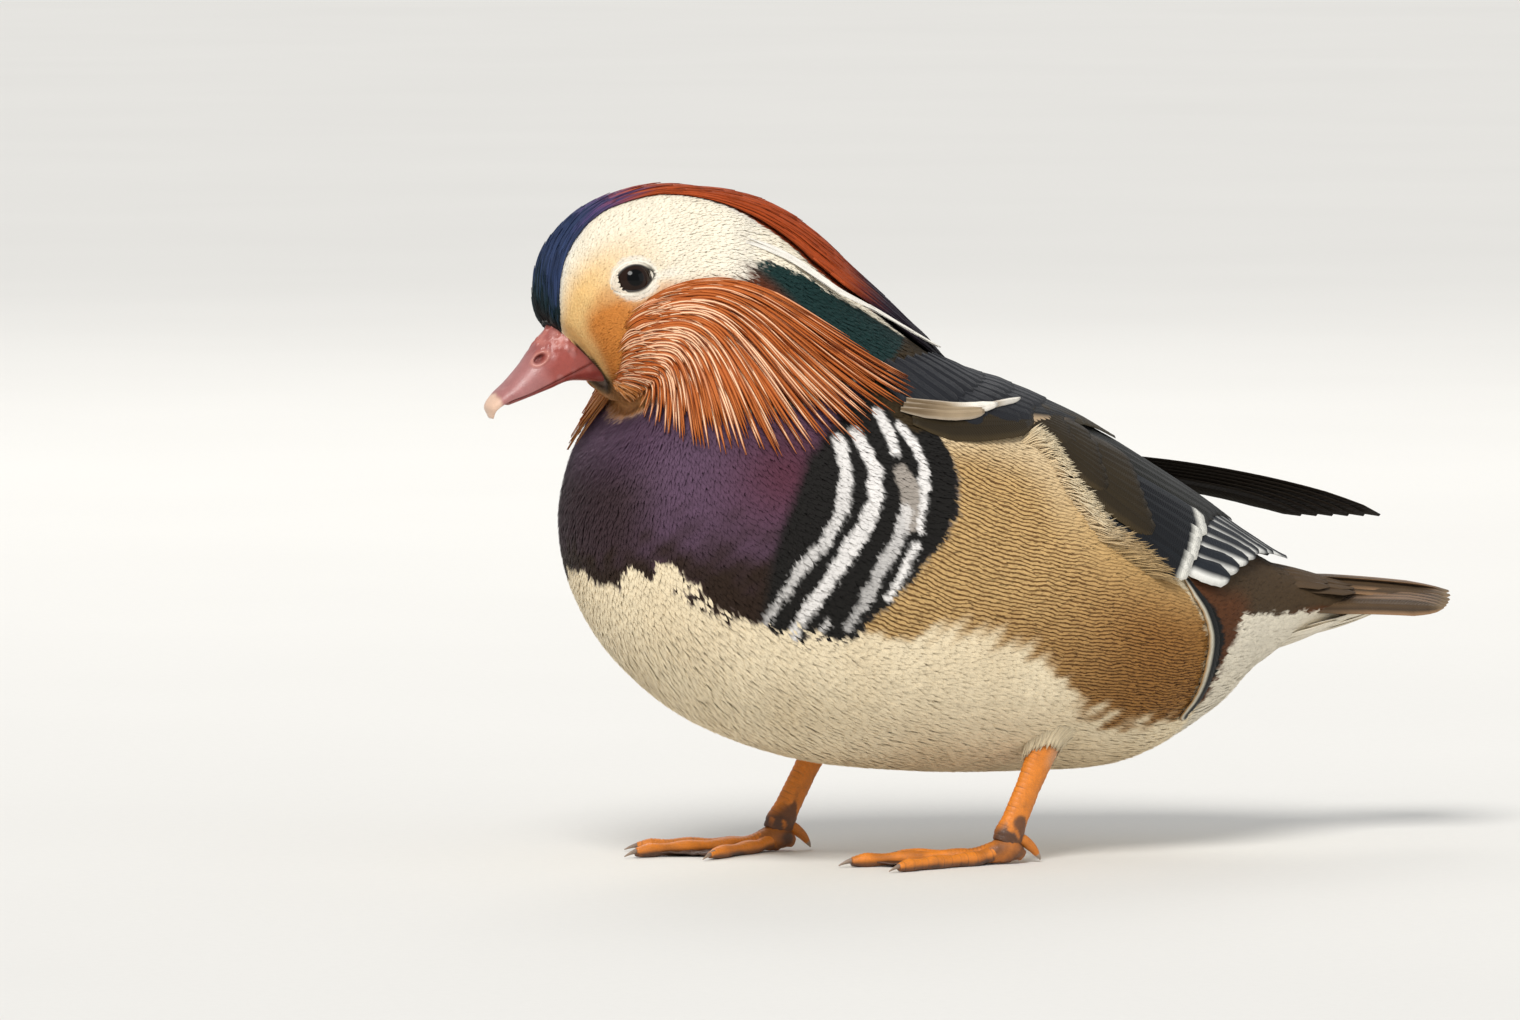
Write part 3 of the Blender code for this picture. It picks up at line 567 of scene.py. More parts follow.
def node_group(name: str, inputs: dict[str, tuple[str, object]],
               outputs: tuple[str, ...]) -> tuple:
    """A new shader node group with named sockets.

    Args:
        name: The group's name.
        inputs: Socket type and default for each input.
        outputs: The names of its values.

    Returns:
        The group, its short ways, and the sockets it reads and feeds.
    """
    group = bpy.data.node_groups.new(name, "ShaderNodeTree")
    for label, (kind, default) in inputs.items():
        socket = group.interface.new_socket(label, in_out="INPUT",
                                            socket_type=f"NodeSocket{kind}")
        if default is not None:
            socket.default_value = default
    for label in outputs:
        group.interface.new_socket(label, in_out="OUTPUT", socket_type="NodeSocketFloat")
    tree = Tree(group)
    return (group, tree, tree.add("NodeGroupInput").outputs,
            tree.add("NodeGroupOutput").inputs)


class Tree:
    """Short ways to add nodes to a material or a group."""

    def __init__(self, tree: NodeTree) -> None:
        """Keeps the tree that nodes are added to."""
        self.tree = tree

    def add(self, kind: str, **settings: object) -> Node:
        """A new node with its settings.

        Args:
            kind: The node's type.
            settings: Its properties.

        Returns:
            The node.
        """
        node = self.tree.nodes.new(kind)
        for key, value in settings.items():
            setattr(node, key, value)
        return node

    def link(self, source: object, target: object) -> None:
        """Joins an output to an input."""
        self.tree.links.new(source, target)

    def feed(self, socket: object, value: object) -> None:
        """Links an output, or sets a plain value.

        Args:
            socket: The input.
            value: A socket or a plain value.
        """
        if isinstance(value, bpy.types.NodeSocket):
            self.link(value, socket)
        else:
            socket.default_value = value

    def maths(self, operation: str, *values: object) -> object:
        """The result of a Math node.

        Args:
            operation: What it does.
            values: Its inputs.

        Returns:
            Its output.
        """
        node = self.add("ShaderNodeMath", operation=operation)
        for socket, value in zip(node.inputs, values):
            self.feed(socket, value)
        return node.outputs[0]

    def mix(self, share: object, a: object, b: object, blend: str = "MIX") -> object:
        """The colour between two colours.

        Args:
            share: How much of b.
            a: A colour.
            b: A colour.
            blend: The way of mixing.

        Returns:
            Its output.
        """
        node = self.add("ShaderNodeMix", data_type="RGBA", blend_type=blend)
        self.feed(node.inputs["Factor"], share)
        self.feed(node.inputs[6], a)
        self.feed(node.inputs[7], b)
        return node.outputs[2]

    def span(self, value: object, low: float, high: float, to_low: float,
             to_high: float) -> object:
        """The value moved from one range to another, with soft ends.

        Args:
            value: What is moved.
            low: Where the first range starts.
            high: Where it ends.
            to_low: Where the second range starts.
            to_high: Where it ends.

        Returns:
            Its output.
        """
        node = self.add("ShaderNodeMapRange", interpolation_type="SMOOTHSTEP")
        for socket, number in zip(node.inputs, (value, low, high, to_low, to_high)):
            self.feed(socket, number)
        return node.outputs[0]

    def noise(self, point: object, scale: object, detail: float = 2.0) -> object:
        """The value of a Noise Texture, from 0 to 1.

        Args:
            point: Where it is read.
            scale: How fine it is.
            detail: How rough it is.

        Returns:
            Its output.
        """
        node = self.add("ShaderNodeTexNoise")
        self.link(point, node.inputs["Vector"])
        self.feed(node.inputs["Scale"], scale)
        self.feed(node.inputs["Detail"], detail)
        return node.outputs[0]

    def laid(self, name: str, output: str = "Fac") -> object:
        """What is laid on the mesh under a name."""
        return self.add("ShaderNodeAttribute", attribute_name=name).outputs[output]

    def shade(self, colour: object, tone: object) -> object:
        """The colour times a tone.

        Args:
            colour: A colour.
            tone: A value near 1.

        Returns:
            Its output.
        """
        grey = self.add("ShaderNodeCombineColor")
        for socket in grey.inputs:
            self.link(tone, socket)
        return self.mix(1.0, colour, grey.outputs[0], "MULTIPLY")

    def object_point(self) -> object:
        """The place on the object."""
        return self.add("ShaderNodeTexCoord").outputs["Object"]


def build_vane_group() -> NodeTree:
    """Fine barbs that run out from a feather's shaft, as tone and height.

    Returns:
        The group; it reads a map with the share across in x and the share along in y.
    """
    group, t, read, give = node_group(
        "vane barbs", {"Map": ("Vector", None), "Count": ("Float", 30.0),
                       "Slant": ("Float", 3.0), "Strength": ("Float", .3)},
        ("Tone", "Height"))
    parts = t.add("ShaderNodeSeparateXYZ")
    t.link(read["Map"], parts.inputs[0])
    across = t.maths("ABSOLUTE", t.maths("SUBTRACT", parts.outputs[0], .5))
    place = t.maths("SUBTRACT", t.maths("MULTIPLY", parts.outputs[1], read["Count"]),
                    t.maths("MULTIPLY", across, read["Slant"]))
    place = t.maths("ADD", place, t.maths("MULTIPLY", t.noise(read["Map"], 6.0), 1.5))
    wave = t.maths("SINE", t.maths("MULTIPLY", place, math.tau))
    t.link(t.maths("ADD", t.maths("MULTIPLY", wave, read["Strength"]), 1.0), give["Tone"])
    t.link(wave, give["Height"])
    return group


def build_wave_group() -> NodeTree:
    """Fine wavy dark lines, as on the flank.

    Returns:
        The group; it reads a level that rises by one from line to line.
    """
    group, t, read, give = node_group(
        "wavy lines", {"Level": ("Float", 0.0), "Strength": ("Float", 1.0),
                       "Point": ("Vector", None), "Wander": ("Float", 1.4)}, ("Cover",))
    wide, fine = (t.maths("MULTIPLY", t.maths("SUBTRACT", t.noise(
        read["Point"], scale, detail), .5), amount)
        for scale, detail, amount in ((120.0, 1.0, 2.0), (460.0, 2.0, .5)))
    shift = t.maths("MULTIPLY", t.maths("ADD", wide, fine), read["Wander"])
    level = t.maths("ADD", read["Level"], shift)
    wave = t.maths("SINE", t.maths("MULTIPLY", level, math.tau))
    lines = t.span(wave, -.10, .85, 0.0, 1.0)
    t.link(t.maths("MULTIPLY", lines, read["Strength"]), give["Cover"])
    return group


def build_mottle_group() -> NodeTree:
    """Uneven tone and fine grain over a surface.

    Returns:
        The group; it reads a point, and puts out a tone near 1 and a height.
    """
    group, t, read, give = node_group(
        "mottle", {"Point": ("Vector", None), "Coarse": ("Float", 120.0),
                   "Fine": ("Float", 1600.0), "Amount": ("Float", .25)},
        ("Tone", "Height"))
    coarse, fine = (t.maths("SUBTRACT", t.noise(read["Point"], read[label], 3.0), .5)
                    for label in ("Coarse", "Fine"))
    total = t.maths("ADD", coarse, t.maths("MULTIPLY", fine, .7))
    tone = t.maths("MULTIPLY", total, t.maths("MULTIPLY", read["Amount"], 2.0))
    t.link(t.maths("ADD", tone, 1.0), give["Tone"])
    t.link(total, give["Height"])
    return group


class Groups:
    """The shared shader groups, built once."""

    made: dict[str, NodeTree] = {}
    makers: dict[str, Callable] = {"vane": build_vane_group, "wave": build_wave_group,
                                   "mottle": build_mottle_group}

    @classmethod
    def place(cls, tree: Tree, name: str, **values: object) -> Node:
        """Puts a shared group in a material.

        Args:
            tree: The material's tree.
            name: Which group.
            values: What each input gets.

        Returns:
            The group's node.
        """
        if name not in cls.made:
            cls.made[name] = cls.makers[name]()
        node = tree.add("ShaderNodeGroup", node_tree=cls.made[name])
        for label, value in values.items():
            tree.feed(node.inputs[label], value)
        return node


def new_material(name: str) -> tuple[Finish, Tree, Node]:
    """A material with its tree and its main shader.

    Args:
        name: Its name.

    Returns:
        The three of them.
    """
    made = bpy.data.materials.new(name)
    made.use_nodes = True
    tree = Tree(made.node_tree)
    return made, tree, made.node_tree.nodes["Principled BSDF"]


def bump(tree: Tree, shader: Node, height: object, strength: float,
         distance: float) -> None:
    """Gives a shader small relief from a height.

    Args:
        tree: The material's tree.
        shader: Its shader.
        height: Where the relief comes from.
        strength: How strong it is.
        distance: How deep it is, in metres.
    """
    node = tree.add("ShaderNodeBump")
    tree.feed(node.inputs["Strength"], strength)
    tree.feed(node.inputs["Distance"], distance)
    tree.feed(node.inputs["Height"], height)
    tree.link(node.outputs[0], shader.inputs["Normal"])


@dataclass(frozen=True)
class PlumageFinish:
    """Feathers, whose colour is laid on the mesh as tint, gloss and bars."""

    name: str
    roughness: float = .62
    gloss_roughness: float = .38
    barbs: float = 9.0
    barb_slant: float = 5.0
    barb_tone: float = .10
    relief: float = .35
    sheen: float = .03
    mottle: float = .12
    waves: bool = False
    wave_shade: Colour = (.26, .20, .15)

    def make(self) -> Finish:
        """The material.

        Returns:
            The material.
        """
        made, t, shader = new_material(self.name)
        point, gloss = t.object_point(), t.laid("gloss")
        uv = t.add("ShaderNodeUVMap", uv_map="Feather").outputs[0]
        vane = Groups.place(t, "vane", Map=uv, Count=self.barbs, Slant=self.barb_slant,
                            Strength=self.barb_tone)
        mottle = Groups.place(t, "mottle", Point=point, Coarse=260.0, Fine=2600.0,
                              Amount=self.mottle)
        colour = t.laid("tint", "Color")
        if self.waves:
            wave = Groups.place(t, "wave", Level=t.laid("level"), Strength=t.laid("bars"),
                                Point=point, Wander=1.0)
            dark = t.mix(1.0, colour, (*self.wave_shade, 1), "MULTIPLY")
            colour = t.mix(wave.outputs["Cover"], colour, dark)
        tone = t.maths("MULTIPLY", vane.outputs["Tone"], mottle.outputs["Tone"])
        t.link(t.shade(colour, tone), shader.inputs["Base Color"])
        t.link(t.span(gloss, 0.0, 1.0, self.roughness, self.gloss_roughness),
               shader.inputs["Roughness"])
        t.link(t.maths("MULTIPLY", gloss, .45), shader.inputs["Metallic"])
        shader.inputs["Sheen Weight"].default_value = self.sheen
        shader.inputs["Sheen Roughness"].default_value = .45
        shader.inputs["Specular IOR Level"].default_value = .16
        height = t.maths("ADD", t.maths("MULTIPLY", vane.outputs["Height"], .4),
                         mottle.outputs["Height"])
        bump(t, shader, height, self.relief, .0003)
        return made


def write_attribute(mesh: Mesh, name: str, kind: str, values: Array) -> None:
    """Stores values on a mesh's points.

    Args:
        mesh: The mesh.
        name: Its name.
        kind: Its data type.
        values: One value, vector or colour a point.
    """
    made = mesh.attributes.get(name)
    if made is None:
        made = mesh.attributes.new(name, kind, "POINT")
    key = {"FLOAT": "value", "FLOAT_VECTOR": "vector", "FLOAT_COLOR": "color"}[kind]
    values = np.asarray(values, np.float32)
    if kind == "FLOAT_COLOR":
        values = np.concatenate([values, np.ones((len(values), 1), np.float32)], 1)
    made.data.foreach_set(key, values.ravel())


def read_attribute(mesh: Mesh, name: str) -> Array:
    """Values stored on a mesh's points.

    Args:
        mesh: The mesh.
        name: Its name.

    Returns:
        One value a point.
    """
    values = np.empty(len(mesh.vertices), np.float32)
    mesh.attributes[name].data.foreach_get("value", values)
    return values.astype(float)


def corner_points(mesh: Mesh) -> Array:
    """The point that each corner of each face is at.

    Args:
        mesh: The mesh.

    Returns:
        Point numbers.
    """
    corners = np.empty(len(mesh.loops), np.int32)
    mesh.loops.foreach_get("vertex_index", corners)
    return corners


def write_map(mesh: Mesh, name: str, corner_uv: Array) -> None:
    """Stores a UV map, one place a corner."""
    layer = mesh.uv_layers.get(name) or mesh.uv_layers.new(name=name)
    layer.data.foreach_set("uv", np.asarray(corner_uv, np.float32).ravel())


def new_object(name: str, mesh: Mesh) -> Piece:
    """A named object of a mesh, in the scene.

    Args:
        name: The piece's name.
        mesh: Its mesh.

    Returns:
        The object.
    """
    made = bpy.data.objects.new(name, mesh)
    bpy.context.scene.collection.objects.link(made)
    return made


def mesh_object(name: str, points: Array, faces: list, finish: Finish) -> Piece:
    """A smooth mesh object from points and faces.

    Args:
        name: The piece's name.
        points: Its points.
        faces: Its faces, as rows of point numbers.
        finish: Its material.

    Returns:
        The object.
    """
    mesh = bpy.data.meshes.new(name)
    points = np.asarray(points, float).reshape(-1, 3)
    faces = np.asarray(faces, np.int32)
    count, sides = faces.shape
    mesh.vertices.add(len(points))
    mesh.vertices.foreach_set("co", points.ravel())
    mesh.loops.add(count * sides)
    mesh.loops.foreach_set("vertex_index", faces.ravel())
    mesh.polygons.add(count)
    mesh.polygons.foreach_set("loop_start", np.arange(0, count * sides, sides))
    mesh.polygons.foreach_set("use_smooth", np.full(count, True))
    mesh.update(calc_edges=True)
    mesh.validate()
    mesh.materials.append(finish)
    return new_object(name, mesh)


def turn_outwards(mesh: Mesh) -> None:
    """Turns a closed mesh's faces outwards and shades them smooth.

    Args:
        mesh: The mesh.
    """
    work = bmesh.new()
    work.from_mesh(mesh)
    bmesh.ops.recalc_face_normals(work, faces=work.faces)
    for face in work.faces:
        face.smooth = True
    work.to_mesh(mesh)
    work.free()


def ring_mesh(name: str, rings: Array, finish: Finish) -> Mesh:
    """A closed mesh through rings of points.

    Args:
        name: The mesh's name.
        rings: Points as ring, place round it, xyz.
        finish: Its material.

    Returns:
        The mesh; its last two points are the hubs that close its ends.
    """
    grid = np.arange(rings.size // 3).reshape(rings.shape[:2])
    right = np.roll(grid, -1, axis=1)
    faces = np.stack([grid[:-1], right[:-1], right[1:], grid[1:]], -1).reshape(-1, 4)
    faces = faces.tolist()
    for row, hub in ((0, grid.size), (-1, grid.size + 1)):
        faces += [(hub, a, b) for a, b in zip(grid[row].tolist(), right[row].tolist())]
    hubs = [rings[0].mean(0), rings[-1].mean(0)]
    mesh = bpy.data.meshes.new(name)
    mesh.from_pydata(np.vstack([rings.reshape(-1, 3), hubs]).tolist(), [], faces)
    turn_outwards(mesh)
    mesh.materials.append(finish)
    return mesh


def dress(made: Piece, slot: str, *nodes: str) -> Piece:
    """Rides a piece on the body, names its slot and the solids that it stands for.

    Args:
        made: The piece.
        slot: The record's material slot.
        nodes: The solids.

    Returns:
        The piece.
    """
    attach(made, BODY_NAME)
    if nodes:
        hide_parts(*nodes)
    triangles = sum(len(p.vertices) - 2 for p in made.data.polygons)
    LOG.info("%s: %d triangles", made.name, triangles)
    return made


def lay_colours(mesh: Mesh, rib: Array, angle: Array, luck: Array, tone: Array) -> None:
    """Lays the markings on a mesh.

    Args:
        mesh: The mesh.
        rib: Rib of each point.
        angle: Angle of each point.
        luck: An uneven value for each point's feather.
        tone: How light each point is against its colour.
    """
    laid = MARKINGS.lay(rib, angle, luck)
    write_attribute(mesh, "tint", "FLOAT_COLOR", laid["tint"] * tone[:, None])
    write_attribute(mesh, "gloss", "FLOAT", laid["gloss"])
    write_attribute(mesh, "bars", "FLOAT", laid["bars"])
    turn = np.abs((angle + 180) % 360 - 180)
    width = curve_at(BODY.ribs, rib)[..., 4] * math.pi / 180
    level = (turn * .047 / 45 * .8 + width * turn * .2) / .00125 + rib * .9
    write_attribute(mesh, "level", "FLOAT", level)


@dataclass
class Skin:
    """The skin under the feathers, from the bill to the tail, in one closed form."""

    finish: Finish
    depth: Pairs = ((0, .0003), (1, .0005), (4, .0006), (8, .0009), (17, .0009),
                    (19, .0007))
    rib_steps: int = 300
    angle_steps: int = 176
    hollow: float = .0026

    def make(self) -> Piece:
        """The skin's piece.

        Returns:
            The piece.
        """
        ribs = np.linspace(.02, BODY.last, self.rib_steps)
        angles = np.linspace(-180, 180, self.angle_steps + 1)[:-1]
        rib, angle = np.meshgrid(ribs, angles, indexing="ij")
        lift = -profile(self.depth, rib)
        points = BODY.at(rib, angle, lift)
        for side in Side:
            eye, _, along, up = BODY.eye(side)
            reach = np.hypot((points - eye) @ along / .0066, (points - eye) @ up / .0058)
            near = np.linalg.norm(points - eye, axis=-1) < .012
            lift = np.where(near, lift - self.hollow * smooth(1.25, .75, reach), lift)
        points = BODY.at(rib, angle, lift)
        mesh = ring_mesh("skin", points, self.finish)
        flat_rib = np.append(rib.ravel(), [ribs[0], ribs[-1]])
        flat_angle = np.append(angle.ravel(), [120, 0])
        zero = np.zeros(len(flat_rib))
        lay_colours(mesh, flat_rib, flat_angle, zero, zero + .96)
        corners = corner_points(mesh)
        wrapped = self._close_seam(mesh, flat_angle[corners])
        write_map(mesh, "OFBake", BODY.unwrap(flat_rib[corners], wrapped))
        write_map(mesh, "Feather", np.full((len(corners), 2), .5))
        return new_object("skin", mesh)

    def _close_seam(self, mesh: Mesh, turn: Array) -> Array:
        """Corner angles that do not jump inside a face.

        Args:
            mesh: The mesh.
            turn: Angle at each corner.

        Returns:
            The corrected angles.
        """
        turn = turn.copy()
        for face in mesh.polygons:
            row = turn[face.loop_start:face.loop_start + face.loop_total]
            if row.max() - row.min() > 180:
                row[row < 0] += 360
        return np.minimum(turn, 180)


# what the points under tufts say of their turn and size, what tufts keep of their root,
# and what the tuft's own points say
LAID = ("lie", "up", "size")
TRACKED = ("root_rib", "root_angle", "on_rib", "on_angle", "aside_rib", "aside_angle",
           "luck")
OWN = ("aside", "along")


@dataclass(frozen=True)
class Tuft:
    """The shape of one small feather: a closed, pointed, arched blade of unit length."""

    rings: Pairs = ((.30, .44), (.72, .50))
    arch: float = .055

    def make(self) -> Piece:
        """The tuft's object, with its own share along and across on its points.

        Returns:
            The object.
        """
        points = [(0, 0, -.02)]
        for along, half in self.rings:
            points += [(-half, along, -self.arch * .5), (0, along, self.arch * .5),
                       (half, along, -self.arch * .5)]
        points.append((0, 1, -.05))
        last = len(points) - 1
        top = [(0, 2, 1), (0, 3, 2), (1, 2, 5, 4), (2, 3, 6, 5), (4, 5, last), (5, 6, last)]
        under = [(0, 1, 3), (1, 4, 6, 3), (4, last, 6)]
        mesh = bpy.data.meshes.new("tuft")
        mesh.from_pydata(points, [], top + under)
        turn_outwards(mesh)
        rim = {(0, 1), (1, 4), (4, last), (0, 3), (3, 6), (6, last)}
        for edge in mesh.edges:
            edge.use_edge_sharp = tuple(sorted(edge.vertices)) in rim
        for column, name in enumerate(OWN):
            write_attribute(mesh, name, "FLOAT", np.array([p[column] for p in points]))
        return new_object("tuft", mesh)


def build_tuft_tree() -> NodeTree:
    """Geometry Nodes that set a tuft on every point, turned to its lie.

    Returns:
        The tree, with inputs Tuft, Finish, Uneven and Seed.
    """
    tree = bpy.data.node_groups.new("tufts on points", "GeometryNodeTree")
    for label, kind in (("Geometry", "Geometry"), ("Tuft", "Object"),
                        ("Finish", "Material"), ("Uneven", "Float"), ("Seed", "Int")):
        tree.interface.new_socket(label, in_out="INPUT", socket_type=f"NodeSocket{kind}")
    tree.interface.new_socket("Geometry", in_out="OUTPUT", socket_type="NodeSocketGeometry")
    t = Tree(tree)
    start, end = t.add("NodeGroupInput"), t.add("NodeGroupOutput")
    read = {}
    for name in LAID:
        node = t.add("GeometryNodeInputNamedAttribute", data_type="FLOAT_VECTOR")
        node.inputs["Name"].default_value = name
        read[name] = node.outputs["Attribute"]
    turn = t.add("FunctionNodeAxesToRotation", primary_axis="Y", secondary_axis="Z")
    t.link(read["lie"], turn.inputs[0])
    t.link(read["up"], turn.inputs[1])
    shape = t.add("GeometryNodeObjectInfo", transform_space="ORIGINAL")
    t.link(start.outputs["Tuft"], shape.inputs["Object"])
    low = t.maths("SUBTRACT", 1.0, start.outputs["Uneven"])
    high = t.maths("ADD", 1.0, start.outputs["Uneven"])
    draw = t.add("FunctionNodeRandomValue", data_type="FLOAT")
    t.link(low, draw.inputs[2])
    t.link(high, draw.inputs[3])
    t.link(start.outputs["Seed"], draw.inputs["Seed"])
    grow = t.add("ShaderNodeVectorMath", operation="SCALE")
    t.link(read["size"], grow.inputs[0])
    t.link(draw.outputs[1], grow.inputs["Scale"])
    place = t.add("GeometryNodeInstanceOnPoints")
    t.link(start.outputs["Geometry"], place.inputs["Points"])
    t.link(shape.outputs["Geometry"], place.inputs["Instance"])
    t.link(turn.outputs[0], place.inputs["Rotation"])
    t.link(grow.outputs[0], place.inputs["Scale"])
    real = t.add("GeometryNodeRealizeInstances")
    t.link(place.outputs[0], real.inputs[0])
    finish = t.add("GeometryNodeSetMaterial")
    t.link(real.outputs[0], finish.inputs["Geometry"])
    t.link(start.outputs["Finish"], finish.inputs["Material"])
    t.link(finish.outputs[0], end.inputs[0])
    return tree


def run_tree(made: Piece, tree: NodeTree, values: dict[str, object]) -> None:
    """Runs a Geometry Nodes tree on an object and keeps its result as a plain mesh.

    Args:
        made: The object, whose mesh is replaced.
        tree: The tree.
        values: What each named input gets.
    """
    modifier = made.modifiers.new("grow", "NODES")
    modifier.node_group = tree
    sockets = {item.name: item.identifier for item in tree.interface.items_tree
               if item.in_out == "INPUT"}
    for name, value in values.items():
        modifier[sockets[name]] = value
    graph = bpy.context.evaluated_depsgraph_get()
    graph.update()
    mesh = bpy.data.meshes.new_from_object(made.evaluated_get(graph))
    made.modifiers.clear()
    made.data = mesh


@dataclass
class Coat:
    """The small feathers of one length of the body, as tufts on rows of roots."""

    # from rib to rib, with the feathers' lengths and widths in mm at ribs
    name: str
    start: float
    end: float
    length: Pairs
    width: Pairs
    # ribs between rows, layers over each place, and how much they turn down
    row: float = .10
    overlap: float = 3.0
    seed: int = 1
    turn: float = 0.0
    # how far tips stand off the skin, in mm
    proud: Pairs = ((0, .11), (3, .06), (6.5, .12), (8, .15), (11, .11), (19, .11))

    def _sizes(self, rib: Array, angle: Array) -> tuple[Array, Array]:
        """Length and width of the feathers at places.

        Args:
            rib: Rib numbers.
            angle: Angles round the ribs.

        Returns:
            Lengths and widths in metres.
        """
        turn = np.abs(angle)
        soft = smooth(112, 140, turn) * smooth(9, 10, rib)
        eye = np.exp(-((rib - BODY.eye_rib) / 1.1) ** 2
                     - ((turn - BODY.eye_angle) / 22) ** 2)
        length = profile(self.length, rib) * (1 + .35 * soft) * (1 - .35 * eye)
        width = profile(self.width, rib) * (1 - .28 * soft) * (1 - .25 * eye)
        return length * MM, width * MM

    def _roots(self) -> tuple[Array, Array]:
        """Roots, set row by row so that they cover the body evenly.

        Returns:
            Ribs and angles.
        """
        draw = np.random.default_rng(self.seed)
        fine = np.arange(-180.0, 180.01, 1.0)
        ribs, angles = [], []
        for rib in np.arange(self.start, self.end, self.row):
            row = np.full(len(fine), rib)
            by_rib, by_angle = BODY.steps(row, fine)
            area = np.linalg.norm(np.cross(by_rib, by_angle), axis=-1) * self.row
            length, width = self._sizes(row, fine)
            crowd = np.cumsum(area * self.overlap / (length * width))
            places = np.arange(draw.uniform(0, 1), crowd[-1], 1.0)
            found = np.interp(places, crowd, fine)
            ribs.append(rib + draw.uniform(-.5, .5, len(found)) * self.row)
            angles.append(found)
        return np.concatenate(ribs), np.concatenate(angles)

    def _bare(self, rib: Array, angle: Array) -> Array:
        """Where no small feathers are needed: round the eyes and under longer ones.

        Args:
            rib: Rib numbers.
            angle: Angles round the ribs.

        Returns:
            True where it is bare.
        """
        turn = np.abs(angle)
        points = BODY.point(rib, turn)
        eye, _, along, up = BODY.eye(Side.LEFT)
        reach = np.hypot((points - eye) @ along / .0062, (points - eye) @ up / .0054)
        bare = (reach < 1) & (np.linalg.norm(points - eye, axis=-1) < .012)
        # under the wing, the crest and the ruff's roots
        bare |= (rib > 9.6) & (rib < 14.4) & (turn > 8) & (
            turn < profile(MARKINGS.flank_top, rib) - 9)
        bare |= (rib > 3.9) & (rib < 8.0) & (turn < 7)
        bare |= (rib > 5.2) & (rib < 6.8) & (turn > 66) & (turn < 112)
        return bare

    def make(self, tuft: Piece, tree: NodeTree, finish: Finish) -> Piece:
        """The coat's piece.

        Args:
            tuft: One small feather.
            tree: The Geometry Nodes tree that sets it on points.
            finish: The coat's material.

        Returns:
            The piece, with its markings laid.
        """
        rib, angle = self._roots()
        kept = ~self._bare(rib, angle)
        rib, angle = rib[kept], angle[kept]
        draw = np.random.default_rng(self.seed + 50)
        out = BODY.out(rib, angle)
        by_rib, _ = BODY.steps(rib, angle)
        ahead = unit(by_rib - out * (by_rib * out).sum(-1, keepdims=True))
        down = unit(np.cross(ahead, out)) * np.sign(angle + 1e-9)[:, None]
        lean = self.turn + draw.normal(0, .10, len(rib))
        lie = unit(ahead + down * lean[:, None])
        length, width = self._sizes(rib, angle)
        depth = profile(Skin.depth, rib) * .8
        proud = profile(self.proud, rib) * MM
        tilt = (depth + proud) / length + draw.normal(0, .004, len(rib))
        up = unit(out - lie * tilt[:, None])
        lie = unit(lie + out * tilt[:, None])
        mesh = bpy.data.meshes.new(self.name)
        mesh.from_pydata((BODY.point(rib, angle) - out * depth[:, None]).tolist(), [], [])
        write_attribute(mesh, "lie", "FLOAT_VECTOR", lie)
        write_attribute(mesh, "up", "FLOAT_VECTOR", up)
        write_attribute(mesh, "size", "FLOAT_VECTOR", np.stack([width, length, width], -1))
        on_rib, on_angle = BODY.chart_step(rib, angle, lie * length[:, None])
        aside = np.cross(lie, up) * width[:, None]
        aside_rib, aside_angle = BODY.chart_step(rib, angle, aside)
        luck = draw.uniform(-1, 1, len(rib))
        for name, values in zip(TRACKED, (rib, angle, on_rib, on_angle, aside_rib,
                                          aside_angle, luck)):
            write_attribute(mesh, name, "FLOAT", values)
        made = new_object(self.name, mesh)
        run_tree(made, tree, {"Tuft": tuft, "Finish": finish, "Uneven": .12,
                              "Seed": self.seed})
        self._finish(made.data)
        return made

    def _finish(self, mesh: Mesh) -> None:
        """Lays the markings and the two maps on the grown tufts.

        Args:
            mesh: The mesh of all tufts.
        """
        read = {name: read_attribute(mesh, name) for name in (*TRACKED, *OWN)}
        share = read["along"] * .85
        rib = read["root_rib"] + read["on_rib"] * share + read["aside_rib"] * read["aside"]
        angle = (read["root_angle"] + read["on_angle"] * share
                 + read["aside_angle"] * read["aside"])
        tone = .95 + .06 * read["along"] + .045 * read["luck"]
        lay_colours(mesh, np.clip(rib, 0, BODY.last), angle, read["luck"], tone)
        corners = corner_points(mesh)
        along, aside = read["along"][corners], read["aside"][corners]
        write_map(mesh, "Feather", np.stack([aside + .5, along], -1))
        patch = np.stack([aside * .003, (along - .5) * .003], -1)
        root = BODY.unwrap(read["root_rib"][corners], read["root_angle"][corners])
        write_map(mesh, "OFBake", np.clip(root + patch, 0, 1))
        for name in (*LAID, *TRACKED, *OWN):
            if name in mesh.attributes:
                mesh.attributes.remove(mesh.attributes[name])


@dataclass(frozen=True)
class VaneForm:
    """The cross-section and thickness of long feathers that are lofted one by one."""

    # stations along, places across as shares of the half width, and heights in metres
    stations: int = 12
    asides: tuple[float, ...] = (-1, -.5, -.09, 0, .09, .5, 1)
    shaft: float = .00022
    camber: float = .0006
    thick: float = .00030

    def lift(self, half: Array, along: Array) -> Array:
        """How far each point of a vane stands over its middle line.

        Args:
            half: Half width at each station of each vane.
            along: Share of the length at each station.

        Returns:
            Lifts for each vane, station and place across.
        """
        aside = np.array(self.asides)
        rise = self.shaft * (np.abs(aside) < .05) * (1 - .8 * along[:, None])
        droop = -self.camber * aside ** 2 * (half[..., None] / max(half.max(), 1e-9))
        return rise + droop


